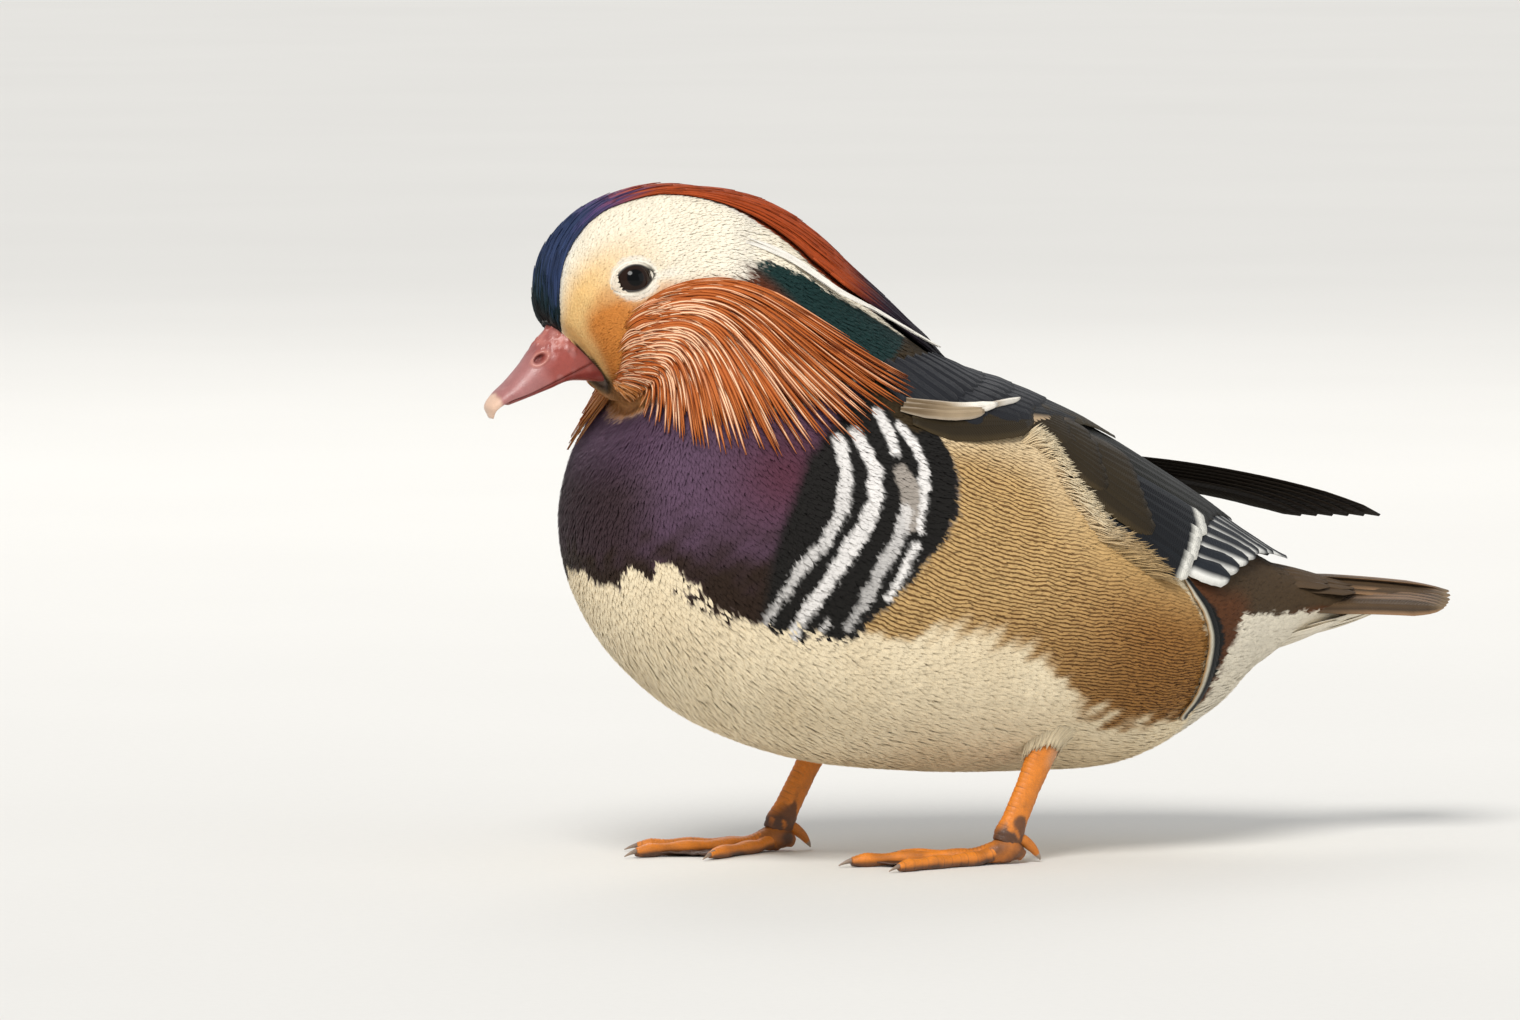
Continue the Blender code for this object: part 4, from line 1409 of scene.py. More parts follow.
def vane_mesh(name: str, top: Array, out: Array, form: VaneForm, finish: Finish,
              roots: Array | None = None) -> Piece:
    """Many closed thin vanes in one mesh.

    Args:
        name: The piece's name.
        top: Their upper points, as vane, station, place across, xyz.
        out: Directions out of their upper faces.
        form: Their form.
        finish: Their material.
        roots: Where each root lies on the skin's unwrap, or None to give each vane a
            strip of its own.

    Returns:
        The piece, with its maps.
    """
    count, stations, across = top.shape[:3]
    aside = np.array(form.asides)
    thin = form.thick * (1 - .55 * np.abs(aside))
    under = top - out * thin[:, None]
    points = np.concatenate([top.reshape(count, -1, 3), under.reshape(count, -1, 3)], 1)
    grid = np.arange(stations * across).reshape(stations, across)
    faces = np.stack([grid[:-1, :-1], grid[:-1, 1:], grid[1:, 1:], grid[1:, :-1]], -1)
    faces = faces.reshape(-1, 4)
    lower = grid.size
    rim = np.concatenate([grid[0, :], grid[1:, -1], grid[-1, -2::-1], grid[-2:0:-1, 0]])
    ring = np.roll(rim, -1)
    wall = np.stack([rim, rim + lower, ring + lower, ring], -1)
    whole = np.concatenate([faces, faces[:, ::-1] + lower, wall])
    step = np.arange(count) * 2 * lower
    made = mesh_object(name, points, (whole[None] + step[:, None, None]).reshape(-1, 4),
                       finish)
    first = top[0, 0, :, :]
    turned = np.cross(first[-1] - first[0], top[0, 1, 0] - top[0, 0, 0]) @ out[0, 0, 0]
    if turned < 0:
        made.data.flip_normals()
    share = np.linspace(0, 1, stations)
    along = np.tile(np.repeat(share, across), 2 * count)
    beside = np.tile(np.tile(aside, stations), 2 * count)
    corners = corner_points(made.data)
    write_map(made.data, "Feather", np.stack([beside / 2 + .5, along], -1)[corners])
    number = np.repeat(np.arange(count), 2 * lower)
    if roots is None:
        columns = math.ceil(math.sqrt(count * 5))
        rows = math.ceil(count / columns)
        flat = np.stack([(number % columns + .5 + beside * .46) / columns,
                         (number // columns + .02 + along * .96) / rows], -1)
    else:
        flat = roots[number] + np.stack([beside * .0015, (along - .5) * .003], -1)
    write_map(made.data, "OFBake", np.clip(flat, 0, 1)[corners])
    return made


def on_body_vanes(rib: Array, angle: Array, half: Array, lift: Array,
                  form: VaneForm) -> tuple[Array, Array]:
    """Vanes laid along the body.

    Args:
        rib: Rib at each station of each vane.
        angle: Angle at each station of each vane.
        half: Half width there.
        lift: Lift of the middle line over the body there.
        form: The vanes' form.

    Returns:
        Upper points and directions out, as vane, station, place across, xyz.
    """
    middle = BODY.point(rib, angle)
    path = unit(np.gradient(middle, axis=1))
    side = unit(np.cross(path, BODY.out(rib, angle)))
    per_rib, per_angle = BODY.chart_step(rib, angle, side)
    reach = half[..., None] * np.array(form.asides)
    ribs = np.clip(rib[..., None] + per_rib[..., None] * reach, 0, BODY.last - .01)
    angles = angle[..., None] + per_angle[..., None] * reach
    along = np.linspace(0, 1, rib.shape[1])
    rise = lift if lift.ndim == 3 else lift[..., None]
    total = rise + form.lift(half, along)
    return BODY.at(ribs, angles, total), BODY.out(ribs, angles)


def free_vanes(path: Array, up: Array, half: Array, form: VaneForm) -> tuple[Array, Array]:
    """Vanes along paths in space.

    Args:
        path: The middle line of each vane, as vane, station, xyz.
        up: Which way each vane's upper face looks.
        half: Half width at each station.
        form: The vanes' form.

    Returns:
        Upper points and directions out.
    """
    along = unit(np.gradient(path, axis=1))
    side = unit(np.cross(along, up))
    out = np.cross(side, along)
    reach = half[..., None] * np.array(form.asides)
    rise = form.lift(half, np.linspace(0, 1, path.shape[1]))
    top = (path[:, :, None] + side[:, :, None] * reach[..., None]
           + out[:, :, None] * rise[..., None])
    return top, np.broadcast_to(out[:, :, None], top.shape)


def tint_vanes(made: Piece, tint: Array, gloss: Array | float = 0.0) -> None:
    """Stores a colour for each upper point of vanes, and the same under them.

    Args:
        made: The piece.
        tint: Colours as vane, station, place across, rgb.
        gloss: Gloss in the same order, or one value.
    """
    count = tint.shape[0]
    flat = tint.reshape(count, -1, 3)
    write_attribute(made.data, "tint", "FLOAT_COLOR",
                    np.concatenate([flat, flat * .85], 1).reshape(-1, 3))
    shine = np.broadcast_to(gloss, tint.shape[:3]).reshape(count, -1)
    write_attribute(made.data, "gloss", "FLOAT", np.concatenate([shine, shine], 1).ravel())


def painted(base: object, *layers: tuple[Array, object]) -> Array:
    """Colours built up from a base.

    Args:
        base: The colour or colours to start from.
        layers: Pairs of a share, from 0 to 1 over the surface, and the colour laid there.

    Returns:
        The colours.
    """
    tint = np.asarray(base, float)
    for share, hue in layers:
        tint = tint + (np.asarray(hue) - tint) * np.clip(share, 0, 1)[..., None]
    return tint


def lay_vanes(name: str, rib: Array, angle: Array, half: Array, lift: Array,
              form: VaneForm, finish: Finish) -> tuple[Piece, tuple]:
    """A piece of vanes laid along the body, each mapped where its root is.

    Args:
        name: The piece's name.
        rib: Rib at each station of each vane.
        angle: Angle at each station of each vane.
        half: Half width there.
        lift: Lift of the middle line over the body there.
        form: The vanes' form.
        finish: Their material.

    Returns:
        The piece, and its number of vanes, stations and places across.
    """
    top, out = on_body_vanes(rib, angle, half, lift, form)
    roots = BODY.unwrap(rib[:, 0], angle[:, 0])
    return vane_mesh(name, top, out, form, finish, roots), top.shape[:3]


def lower_side(top: Array, form: VaneForm) -> Array:
    """Places across vanes, with 1 at the side that lies lower.

    Args:
        top: Upper points of the vanes.
        form: Their form.

    Returns:
        One place for each point across.
    """
    beside = (top[:, :, -1] - top[:, :, 0])[..., 2].mean()
    return np.array(form.asides) * (1 if beside < 0 else -1)


@dataclass
class Mane:
    """The ruff of long pointed hackles on one side of the neck."""

    side: Side
    finish: Finish
    roots: Pairs = ((4.65, 77), (4.05, 87), (3.7, 98), (3.45, 109), (3.1, 121),
                    (2.5, 136), (1.9, 144))
    tips: Pairs = ((8.4, 43), (8.45, 53), (8.5, 66), (8.4, 77), (8.2, 91), (7.95, 102),
                   (7.55, 112), (7.3, 120), (6.75, 132), (5.75, 150), (3.9, 160))
    # how many, where they start and end on the way to the tips, their lifts at root,
    # middle and tip in mm, and their half width in mm
    layers: tuple = (
        (66, .30, 1.00, (.5, 1.6, 1.5), 1.15),
        (64, .22, .97, (.7, 2.2, 2.3), 1.05),
        (62, .14, .88, (.8, 2.9, 3.1), .95),
        (60, .06, .74, (.8, 3.3, 3.9), .80),
        (58, .00, .56, (.7, 3.1, 4.2), .62),
        (56, -.05, .40, (.6, 2.2, 3.6), .48),
        (64, -.08, .25, (.5, 1.4, 2.6), .40),
        (70, -.11, .15, (.4, 1.0, 1.8), .36),
        (70, -.15, .05, (.3, .7, 1.3), .32),
    )
    form: VaneForm = VaneForm(12, (-1, -.24, -.09, .09, .24, 1), .00040, .00055, .00028)
    # the far side's foremost hackles hang past the breast
    far_tips: Pairs = ((7.0, 133), (6.95, 150), (6.6, 163))
    taper: Pairs = ((0, .22), (.16, .80), (.32, 1), (.62, .86), (.88, .42), (1, .05))
    orange: Colour = (.62, .135, .011)
    rust: Colour = (.18, .024, .004)
    tip: Colour = (.62, .165, .022)
    pale: Colour = (.95, .72, .48)
    cheek: Colour = (.60, .19, .026)
    throat: Colour = (.55, .24, .06)

    def _place(self, down: Array, out: Array) -> Array:
        """Rib and angle at shares down the cheek and out to the tips.

        Args:
            down: Shares down the cheek.
            out: Shares out to the tips.

        Returns:
            Rows of rib and angle.
        """
        root = curve_at(self.roots, down * (len(self.roots) - 1))
        tips = self.tips if self.side is Side.LEFT else self.tips[:-3] + self.far_tips
        tip = curve_at(tips, down * (len(tips) - 1))
        return root + (tip - root) * out[..., None]

    def make(self) -> Piece:
        """The mane's piece.

        Returns:
            The piece.
        """
        draw = np.random.default_rng(21 + self.side.value)
        rows = [[], [], [], [], []]
        for level, (count, start, end, lifts, half) in enumerate(self.layers):
            down = (np.arange(count) + .5) / count + draw.uniform(-.45, .45, count) / count
            down = np.clip(down, 0, 1)
            bent = np.clip(down + draw.normal(0, .006, count), 0, 1)
            t = np.linspace(0, 1, self.form.stations)
            first = self._place(down, start + draw.uniform(-.07, .07, count))
            even = draw.uniform(0, 1, count) < .5
            ragged = np.where(even, 0, draw.uniform(-.10, .02, count))
            last = self._place(bent, end + ragged)
            places = first[:, None] + (last - first)[:, None] * t[None, :, None]
            bow = -3.0 * np.sin(np.pi * down)[:, None] * np.sin(np.pi * t)
            small = .45 + .55 * np.sin(np.pi * np.clip(.12 + down * .82, 0, 1))
            reach = profile(self.taper, t)
            lift = profile(((0, lifts[0] - .45), (.45, lifts[1]), (1, lifts[2])), t)[None]
            wild = draw.normal(0, .22, count)[:, None] * t ** 2
            rows[0].append(places[..., 0])
            rows[1].append(places[..., 1] + bow)
            rows[2].append(half * MM * small[:, None] * reach)
            rows[3].append((.25 + lift * (.55 + .45 * small[:, None]) + wild) * MM)
            luck = draw.uniform(-1, 1, count)
            rows[4].append(np.stack([down, np.full(count, level), luck], -1))
        rib, angle, half, lift, marks = (np.concatenate(row) for row in rows)
        angle = angle * self.side.turn
        top, out = on_body_vanes(rib, angle, half, np.maximum(lift, .0001), self.form)
        top = self._eased(top, out)
        made = vane_mesh(f"hackles_{self.side.word}", top, out, self.form, self.finish,
                         BODY.unwrap(rib[:, 0], angle[:, 0]))
        self._paint(made, top.shape[:3], marks)
        return made

    def _eased(self, top: Array, out: Array) -> Array:
        """The same vanes with sharp bends along them rounded off.

        Args:
            top: Upper points of the vanes.
            out: Directions out of them.

        Returns:
            The moved points.
        """
        middle = top.mean(2)
        eased = middle.copy()
        for _ in range(6):
            eased[:, 1:-1] = .5 * eased[:, 1:-1] + .25 * (eased[:, 2:] + eased[:, :-2])
        move = eased - middle
        away = out.mean(2)
        inward = np.minimum((move * away).sum(-1, keepdims=True) + .0002, 0)
        return top + (move - inward * away)[:, :, None]

    def _paint(self, made: Piece, shape: tuple, marks: Array) -> None:
        """Orange vanes, pale shafts, and dark roots in the gaps.

        Args:
            made: The piece.
            shape: Its number of vanes, stations and places across.
            marks: Share down, layer and luck of each hackle.
        """
        down, level, luck = (marks[:, k, None, None] + np.zeros(shape) for k in range(3))
        along = np.linspace(0, 1, shape[1])[None, :, None] + np.zeros(shape)
        aside = np.abs(np.array(self.form.asides)) + np.zeros(shape)
        shaft = smooth(.34, .12, aside) * smooth(1.04, .90, along) * smooth(.02, .16, along)
        chosen = smooth(.02, .22, luck + .22 * smooth(2.5, 5.0, level)
                        - .45 * smooth(.35, .05, down) + .10 * smooth(.4, .6, down))
        strong = chosen * (.50 + .50 * smooth(.04, .30, down)) + .08
        short = smooth(4.5, 6.0, level) * .30 * chosen * smooth(.20, .40, down)
        # cheek hackles, orange vanes, their tips, dark edges, and pale shafts
        tint = painted(self.rust, (smooth(3.5, 6.5, level), self.cheek),
                       (smooth(.0, .35, along), self.orange),
                       (smooth(.62, 1.0, along) * .7, self.tip),
                       (smooth(.30, 1.0, aside) * .80, self.rust),
                       (shaft * np.clip(strong + short, 0, 1), self.pale))
        tint *= ((1 + .12 * luck) * (.88 + .12 * chosen))[..., None]
        tint_vanes(made, painted(tint, (smooth(.84, .95, down) * .6, self.throat)), .15)


@dataclass
class Crest:
    """Forehead stripe and crest: a smooth cap under layers of fine silky strands."""

    finish: Finish
    # half its spread in degrees and its depth in mm, at ribs
    spread: Pairs = ((.2, 42), (1, 44), (1.6, 36), (2.3, 25), (3.2, 14), (4, 12.5),
                     (4.6, 14), (5.5, 23), (6.3, 29), (6.8, 25.5), (7.4, 17),
                     (7.9, 12.5), (8.7, 7))
    depth: Pairs = ((.2, .6), (.8, 1.4), (2.3, 2.3), (4.6, 2.3), (5.5, 5.0), (6.4, 5.8),
                    (7.6, 5.6), (8.25, 4.4), (8.8, 1.4))
    strands: int = 900
    form: VaneForm = VaneForm(9, (-1, 0, 1), .00018, .00030, .00022)

    def _cover(self, rib: Array, share: Array) -> Array:
        """Lift of the cap's surface."""
        rim = 1 - .62 * np.abs(share) ** 2.6
        return profile(self.depth, rib) * MM * rim

    def make_cap(self) -> Piece:
        """The cap under the strands.

        Returns:
            The piece.
        """
        rib, share = np.meshgrid(np.linspace(.25, 8.55, 90), np.linspace(-1, 1, 31),
                                 indexing="ij")
        angle = profile(self.spread, rib) * share
        lift = np.maximum(self._cover(rib, share) - .0004, .0002)
        form = VaneForm(90, tuple(np.linspace(-1, 1, 31)), 0, 0, .0012)
        top = BODY.at(rib, angle, lift)[None]
        made = vane_mesh("crest_cap", top, BODY.out(rib, angle)[None], form, self.finish)
        tint_vanes(made, crest_tint(rib, angle, np.zeros(rib.shape))[None] * .7, .3)
        return made

    def make_strands(self) -> Piece:
        """The strands, from the bill to the crest's tip.

        Returns:
            The piece.
        """
        draw = np.random.default_rng(31)
        count = self.strands
        t = np.linspace(0, 1, self.form.stations)
        start = .25 + 7.4 * (np.arange(count) + .5) / count
        share = draw.uniform(-1, 1, count)
        long = profile(((.2, .55), (1.5, .8), (3, 1.0), (4.5, 1.7), (6, 2.0), (7.6, 1.25)),
                       start) * draw.uniform(.8, 1.15, count)
        end = np.minimum(start + long, 8.95 - .35 * np.abs(share))
        rib = start[:, None] + (end - start)[:, None] * t
        narrow = 1 - .12 * t * (start[:, None] > 5)
        angle = profile(self.spread, rib) * share[:, None] * narrow
        angle += draw.normal(0, .5, count)[:, None] * t
        reach = profile(((0, .5), (.3, 1), (.7, .7), (1, .06)), t)
        size = profile(((.2, .42), (2, .55), (4, .70), (6, .85), (8, .80)), start) * MM
        half = size[:, None] * reach
        lift = self._cover(rib, share[:, None]) + (-.0003 + .0006 * t)
        lift += draw.normal(0, .00012, count)[:, None] * t
        made, shape = lay_vanes("crest_strands", rib, angle, half,
                                np.maximum(lift, .0003), self.form, self.finish)
        rib, angle, luck = (np.broadcast_to(value[..., None], shape) for value in (
            rib, angle, draw.uniform(-1, 1, count)[:, None]))
        tint_vanes(made, crest_tint(rib, angle, luck), .35)
        return made


class Quill(Enum):
    """The kinds of long feather on wing and tail."""

    PRIMARY = "primary"
    SECONDARY = "secondary"
    TERTIAL = "tertial"
    COVERT = "covert"
    SCAPULAR = "scapular"
    LONG_SCAPULAR = "long scapular"
    FAR = "far"
    STRIPE = "shoulder stripe"
    TAIL = "tail"
    RUMP = "rump"
    UNDERTAIL = "undertail"


@dataclass(frozen=True)
class Tier:
    """One row of wing feathers: kind, number, first and last root and tip as (rib, angle),
    half width in metres, how blunt the tips are, and the lift in mm.
    """

    kind: Quill
    count: int
    first: tuple[float, float]
    last: tuple[float, float]
    first_tip: tuple[float, float]
    last_tip: tuple[float, float]
    half: float
    blunt: float
    lift: float


@dataclass(frozen=True)
class QuillLook:
    """A long feather's base colour, its gloss, and layers of (share, colour).

    A share reads the place in the row (d), the share along (l), the place across (a) and
    its distance from the shaft (e).
    """

    base: Colour
    gloss: float
    layers: tuple[tuple[Callable, Colour], ...]


QUILL_LOOKS: dict[Quill, QuillLook] = {
    Quill.PRIMARY: QuillLook((.012, .015, .020), .2, (
        (lambda d, l, a, e: smooth(.02, .34, a) * smooth(1.0, .90, l - .12 * (d < .2))
         * (d > .12), (.80, .79, .74)),
        (lambda d, l, a, e: smooth(.75, .95, a) * (d < .12) * .8, (.55, .55, .52)))),
    Quill.SECONDARY: QuillLook((.008, .009, .011), .45, (
        (lambda d, l, a, e: smooth(.2, .9, -a) * .5, (.008, .015, .020)),
        (lambda d, l, a, e: smooth(.925, .945, l), (.84, .82, .74)))),
    Quill.TERTIAL: QuillLook((.013, .013, .010), .30, (
        (lambda d, l, a, e: smooth(.3, .9, a) * .6, (.008, .014, .022)),
        (lambda d, l, a, e: smooth(.86, 1, e) * .35, (.05, .038, .018)))),
    Quill.COVERT: QuillLook((.024, .016, .006), 0, (
        (lambda d, l, a, e: smooth(.55, 1, e) * .5, (.042, .028, .010)),
        (lambda d, l, a, e: smooth(.82, 1, l) * .35, (.018, .011, .004)),
        (lambda d, l, a, e: smooth(.5, 1, d) * smooth(.85, 1, e) * .25, (.16, .11, .05)))),
    Quill.SCAPULAR: QuillLook((.014, .015, .019), .30, (
        (lambda d, l, a, e: smooth(.7, 1, e) * .5, (.024, .025, .029)),
        (lambda d, l, a, e: smooth(.5, .95, l) * .5, (.012, .013, .016)))),
    Quill.LONG_SCAPULAR: QuillLook((.012, .013, .015), .25, (
        (lambda d, l, a, e: smooth(.25, .55, a) * smooth(.62, .78, d) * smooth(.0, .2, l)
         * smooth(1.0, .75, l), (.46, .33, .20)),
        (lambda d, l, a, e: smooth(.5, 1, l) * (d < .6), (.035, .024, .008)))),
    Quill.STRIPE: QuillLook((.16, .11, .06), 0, (
        (lambda d, l, a, e: smooth(.15, .6, l), (.36, .27, .17)),
        (lambda d, l, a, e: smooth(.45, .9, e) * .7, (.62, .52, .40)),
        (lambda d, l, a, e: smooth(.5, .2, d) * smooth(.35, .75, l), (.80, .75, .66)))),
    Quill.FAR: QuillLook((.018, .012, .007), .15, (
        (lambda d, l, a, e: smooth(.2, 1, a) * .5, (.05, .040, .018)),)),
    Quill.TAIL: QuillLook((.090, .054, .026), 0, (
        (lambda d, l, a, e: smooth(.25, .9, l) * .35, (.055, .036, .020)),
        (lambda d, l, a, e: smooth(.2, .5, e) * smooth(.95, .7, e) * .6,
         (.030, .019, .011)),
        (lambda d, l, a, e: smooth(.84, 1, e) * smooth(.2, .6, l) * .8, (.36, .21, .11)),
        (lambda d, l, a, e: smooth(.93, 1, l) * .6, (.42, .30, .17)))),
    Quill.RUMP: QuillLook((.070, .043, .022), 0, (
        (lambda d, l, a, e: smooth(.6, 1, e) * .4, (.10, .064, .034)),)),
    Quill.UNDERTAIL: QuillLook((.76, .69, .56), 0, (
        (lambda d, l, a, e: smooth(.7, 1, e) * .4, (.60, .52, .38)),)),
}


def quill_tint(kind: Quill, down: Array, along: Array, aside: Array,
               luck: Array) -> tuple[Array, Array]:
    """Colour and gloss over long feathers.

    Args:
        kind: What they are.
        down: Their place in the row, from 0 at the top to 1.
        along: Share of the length.
        aside: Place across, -1 to 1, with 1 towards the row's lower side.
        luck: An uneven value for each feather.

    Returns:
        Colours and gloss.
    """
    down, along, aside, luck = np.broadcast_arrays(down, along, aside, luck)
    look = QUILL_LOOKS[kind]
    tint = np.zeros((*down.shape, 3)) + look.base
    for share, hue in look.layers:
        tint = painted(tint, (share(down, along, aside, np.abs(aside)), hue))
    wave = .5 + .5 * np.sin(along * 60 + 9 * luck)
    tint = tint * (1 + .10 * luck + .05 * (wave - .5))[..., None]
    shaft = smooth(.07, .0, np.abs(aside)) * .35
    return painted(tint, (shaft, tint * .5)), np.full(down.shape, look.gloss)


@dataclass
class Wing:
    """A folded wing, with its feathers in overlapping tiers from the quills to the back."""

    side: Side
    finish: Finish
    # upper and lower edge in degrees, and the depth of the ground in metres, at ribs
    top: float = 5.0
    low: Pairs = ((9.0, 52), (9.6, 46), (11.2, 40), (12.2, 46), (13.3, 59), (14.5, 68),
                  (15.2, 67), (16.0, 58))
    depth: Pairs = ((9.1, .0014), (10, .0026), (13.6, .0042), (15, .0044), (17, .0042),
                    (18, .0036))
    lay: float = .0007
    form: VaneForm = VaneForm(18)
    tiers: tuple[Tier, ...] = (
        Tier(Quill.PRIMARY, 9, (14.8, 14), (14.6, 62), (18.0, 19), (15.75, 67), .0042, .25,
             -.4),
        Tier(Quill.SECONDARY, 7, (12.9, 34), (13.1, 50), (15.32, 41), (14.80, 68), .0062,
             .70, .5),
        Tier(Quill.TERTIAL, 6, (12.4, 9), (12.9, 34), (16.55, 12), (15.45, 40), .0064, .40,
             .9),
        Tier(Quill.COVERT, 8, (11.7, 26), (12.2, 40), (13.7, 28), (14.1, 56), .0062, .60,
             1.1),
        Tier(Quill.COVERT, 9, (10.8, 22), (11.4, 33), (12.8, 24), (13.2, 46), .0056, .60,
             1.4),
        Tier(Quill.COVERT, 9, (9.9, 20), (10.5, 30), (11.9, 20), (12.3, 32), .0050, .60,
             1.6),
        Tier(Quill.COVERT, 9, (9.0, 24), (8.75, 58), (11.0, 20), (10.9, 33), .0048, .60,
             1.6),
        Tier(Quill.LONG_SCAPULAR, 7, (10.2, 7), (9.7, 33), (13.75, 9), (11.9, 21), .0058,
             .30, 2.3),
        Tier(Quill.SCAPULAR, 8, (9.2, 6), (8.9, 40), (11.6, 9), (10.6, 33), .0056, .50,
             2.5),
        Tier(Quill.SCAPULAR, 9, (9.0, 5), (8.5, 44), (10.5, 8), (9.7, 42), .0052, .50,
             2.4),
        Tier(Quill.SCAPULAR, 10, (8.55, 5), (7.75, 50), (9.6, 7), (8.95, 51), .0046, .50,
             2.0),
        Tier(Quill.STRIPE, 3, (8.45, 54), (8.5, 58), (9.85, 34), (9.65, 40), .0019, .40,
             4.6),
        Tier(Quill.STRIPE, 1, (9.3, 42), (9.3, 42), (10.5, 25), (10.5, 25), .0010, .30,
             5.2),
    )
    far_tip: Spot = (.1480, .0090, .1050)
    far_count: int = 6

    def _ground(self, rib: Array, angle: Array) -> Array:
        """Lift of the wing's ground over the body.

        Args:
            rib: Rib numbers.
            angle: Angles round the ribs.

        Returns:
            Lifts in metres.
        """
        low = profile(((9.1, .30), (13.4, .40), (15.5, .75), (18, .85)), rib)
        share = np.clip((np.abs(angle) - self.top) / 55, 0, 1)
        return self.lay + profile(self.depth, rib) * (1 - (1 - low) * share) - .0007

    def make_core(self) -> Piece:
        """The dark closed form under the feathers.

        Returns:
            The piece.
        """
        rib, share = np.meshgrid(np.linspace(8.6, 16.2, 60), np.linspace(-1, 1, 25),
                                 indexing="ij")
        low = profile(self.low, rib) - 10
        angle = (self.top + (low - self.top) * (share + 1) / 2) * self.side.turn
        taper = profile(((8.6, .1), (9.8, .8), (14.2, .8), (16.2, .15)), rib)
        rim = 1 - np.abs(share) ** 6
        lift = .0003 + (self._ground(rib, angle) - .0002) * taper * rim
        form = VaneForm(60, tuple(np.linspace(-1, 1, 25)), 0, 0, .0010)
        top = BODY.at(rib, angle, lift)[None]
        made = vane_mesh(f"wing_core_{self.side.word}", top, BODY.out(rib, angle)[None],
                         form, self.finish)
        tint_vanes(made, np.broadcast_to((.014, .010, .005), top.shape), 0)
        return made

    def make_feathers(self) -> Piece:
        """All the feathers that lie on the wing.

        Returns:
            The piece.
        """
        draw = np.random.default_rng(41)
        parts = []
        t = np.linspace(0, 1, self.form.stations)
        aside = np.array(self.form.asides)
        for tier in self.tiers:
            down = np.linspace(0, 1, tier.count)
            first, last, first_tip, last_tip = (np.array(end) for end in (
                tier.first, tier.last, tier.first_tip, tier.last_tip))
            root = first + (last - first) * down[:, None]
            tip = first_tip + (last_tip - first_tip) * down[:, None]
            tip[:, 0] += draw.normal(0, .035, tier.count)
            places = root[:, None] + (tip - root)[:, None] * t[None, :, None]
            rib, angle = places[..., 0], places[..., 1]
            reach = profile(((0, .35), (.25, .95), (.55, 1), (.82, .90),
                             (.93, .45 + .45 * tier.blunt), (1, .12 + .3 * tier.blunt)), t)
            phase = 5 * draw.uniform(0, 1, (tier.count, 1))
            notch = 1 - .05 * np.abs(np.sin(t * 19 + phase))
            rise = profile(((0, -.9), (.35, .1), (.75, .6), (1, .55)), t)
            lift = (tier.lift * .42 + rise + (down * -.35)[:, None]) * MM
            lift = (lift + self._ground(rib, angle))[..., None] - aside * .00030
            if self.side is Side.RIGHT:
                lift = lift[..., ::-1]
            top, out = on_body_vanes(rib, angle * self.side.turn, tier.half * reach * notch,
                                     np.maximum(lift, .0007), self.form)
            luck = draw.uniform(-1, 1, tier.count)[:, None, None]
            parts.append((top, out, *quill_tint(tier.kind, down[:, None, None],
                                                t[None, :, None],
                                                lower_side(top, self.form), luck)))
        top, out, tint, gloss = (np.concatenate(part) for part in zip(*parts))
        made = vane_mesh(f"wing_feathers_{self.side.word}", top, out, self.form,
                         self.finish)
        tint_vanes(made, tint, gloss)
        return made

    def make_far_quills(self) -> Piece:
        """The long outer quills that stand out past the body.

        Returns:
            The piece.
        """
        form = VaneForm(16)
        t = np.linspace(0, 1, form.stations)
        number = np.arange(self.far_count)
        share = number / (self.far_count - 1)
        rib = np.full(self.far_count, 14.1)
        angle = -(21.0 + 11 * share)
        root = BODY.at(rib, angle, .0036 - .0020 * share)
        tip = np.array(self.far_tip) - np.array([.0052, -.0009, -.0001]) * number[:, None]
        out = BODY.out(np.array([16.0]), np.array([-24.0]))[0] + np.array([0, .25, 0])
        path = root[:, None] + (tip - root)[:, None] * t[None, :, None]
        path = path + unit(out) * (.0026 * np.sin(np.pi * t))[None, :, None]
        path[..., 2] -= (.0022 * t ** 6)[None]
        half = np.broadcast_to(profile(((0, .0022), (.3, .0036), (.8, .0034), (.94, .0024),
                                        (1, .0006)), t), (self.far_count, len(t)))
        top, outs = free_vanes(path, np.broadcast_to(out, path.shape), half, form)
        made = vane_mesh("far_quills", top, outs, form, self.finish)
        luck = np.random.default_rng(5).uniform(-1, 1, self.far_count)[:, None, None]
        tint_vanes(made, *quill_tint(Quill.FAR, share[:, None, None], t[None, :, None],
                                     lower_side(top, form), luck))
        return made


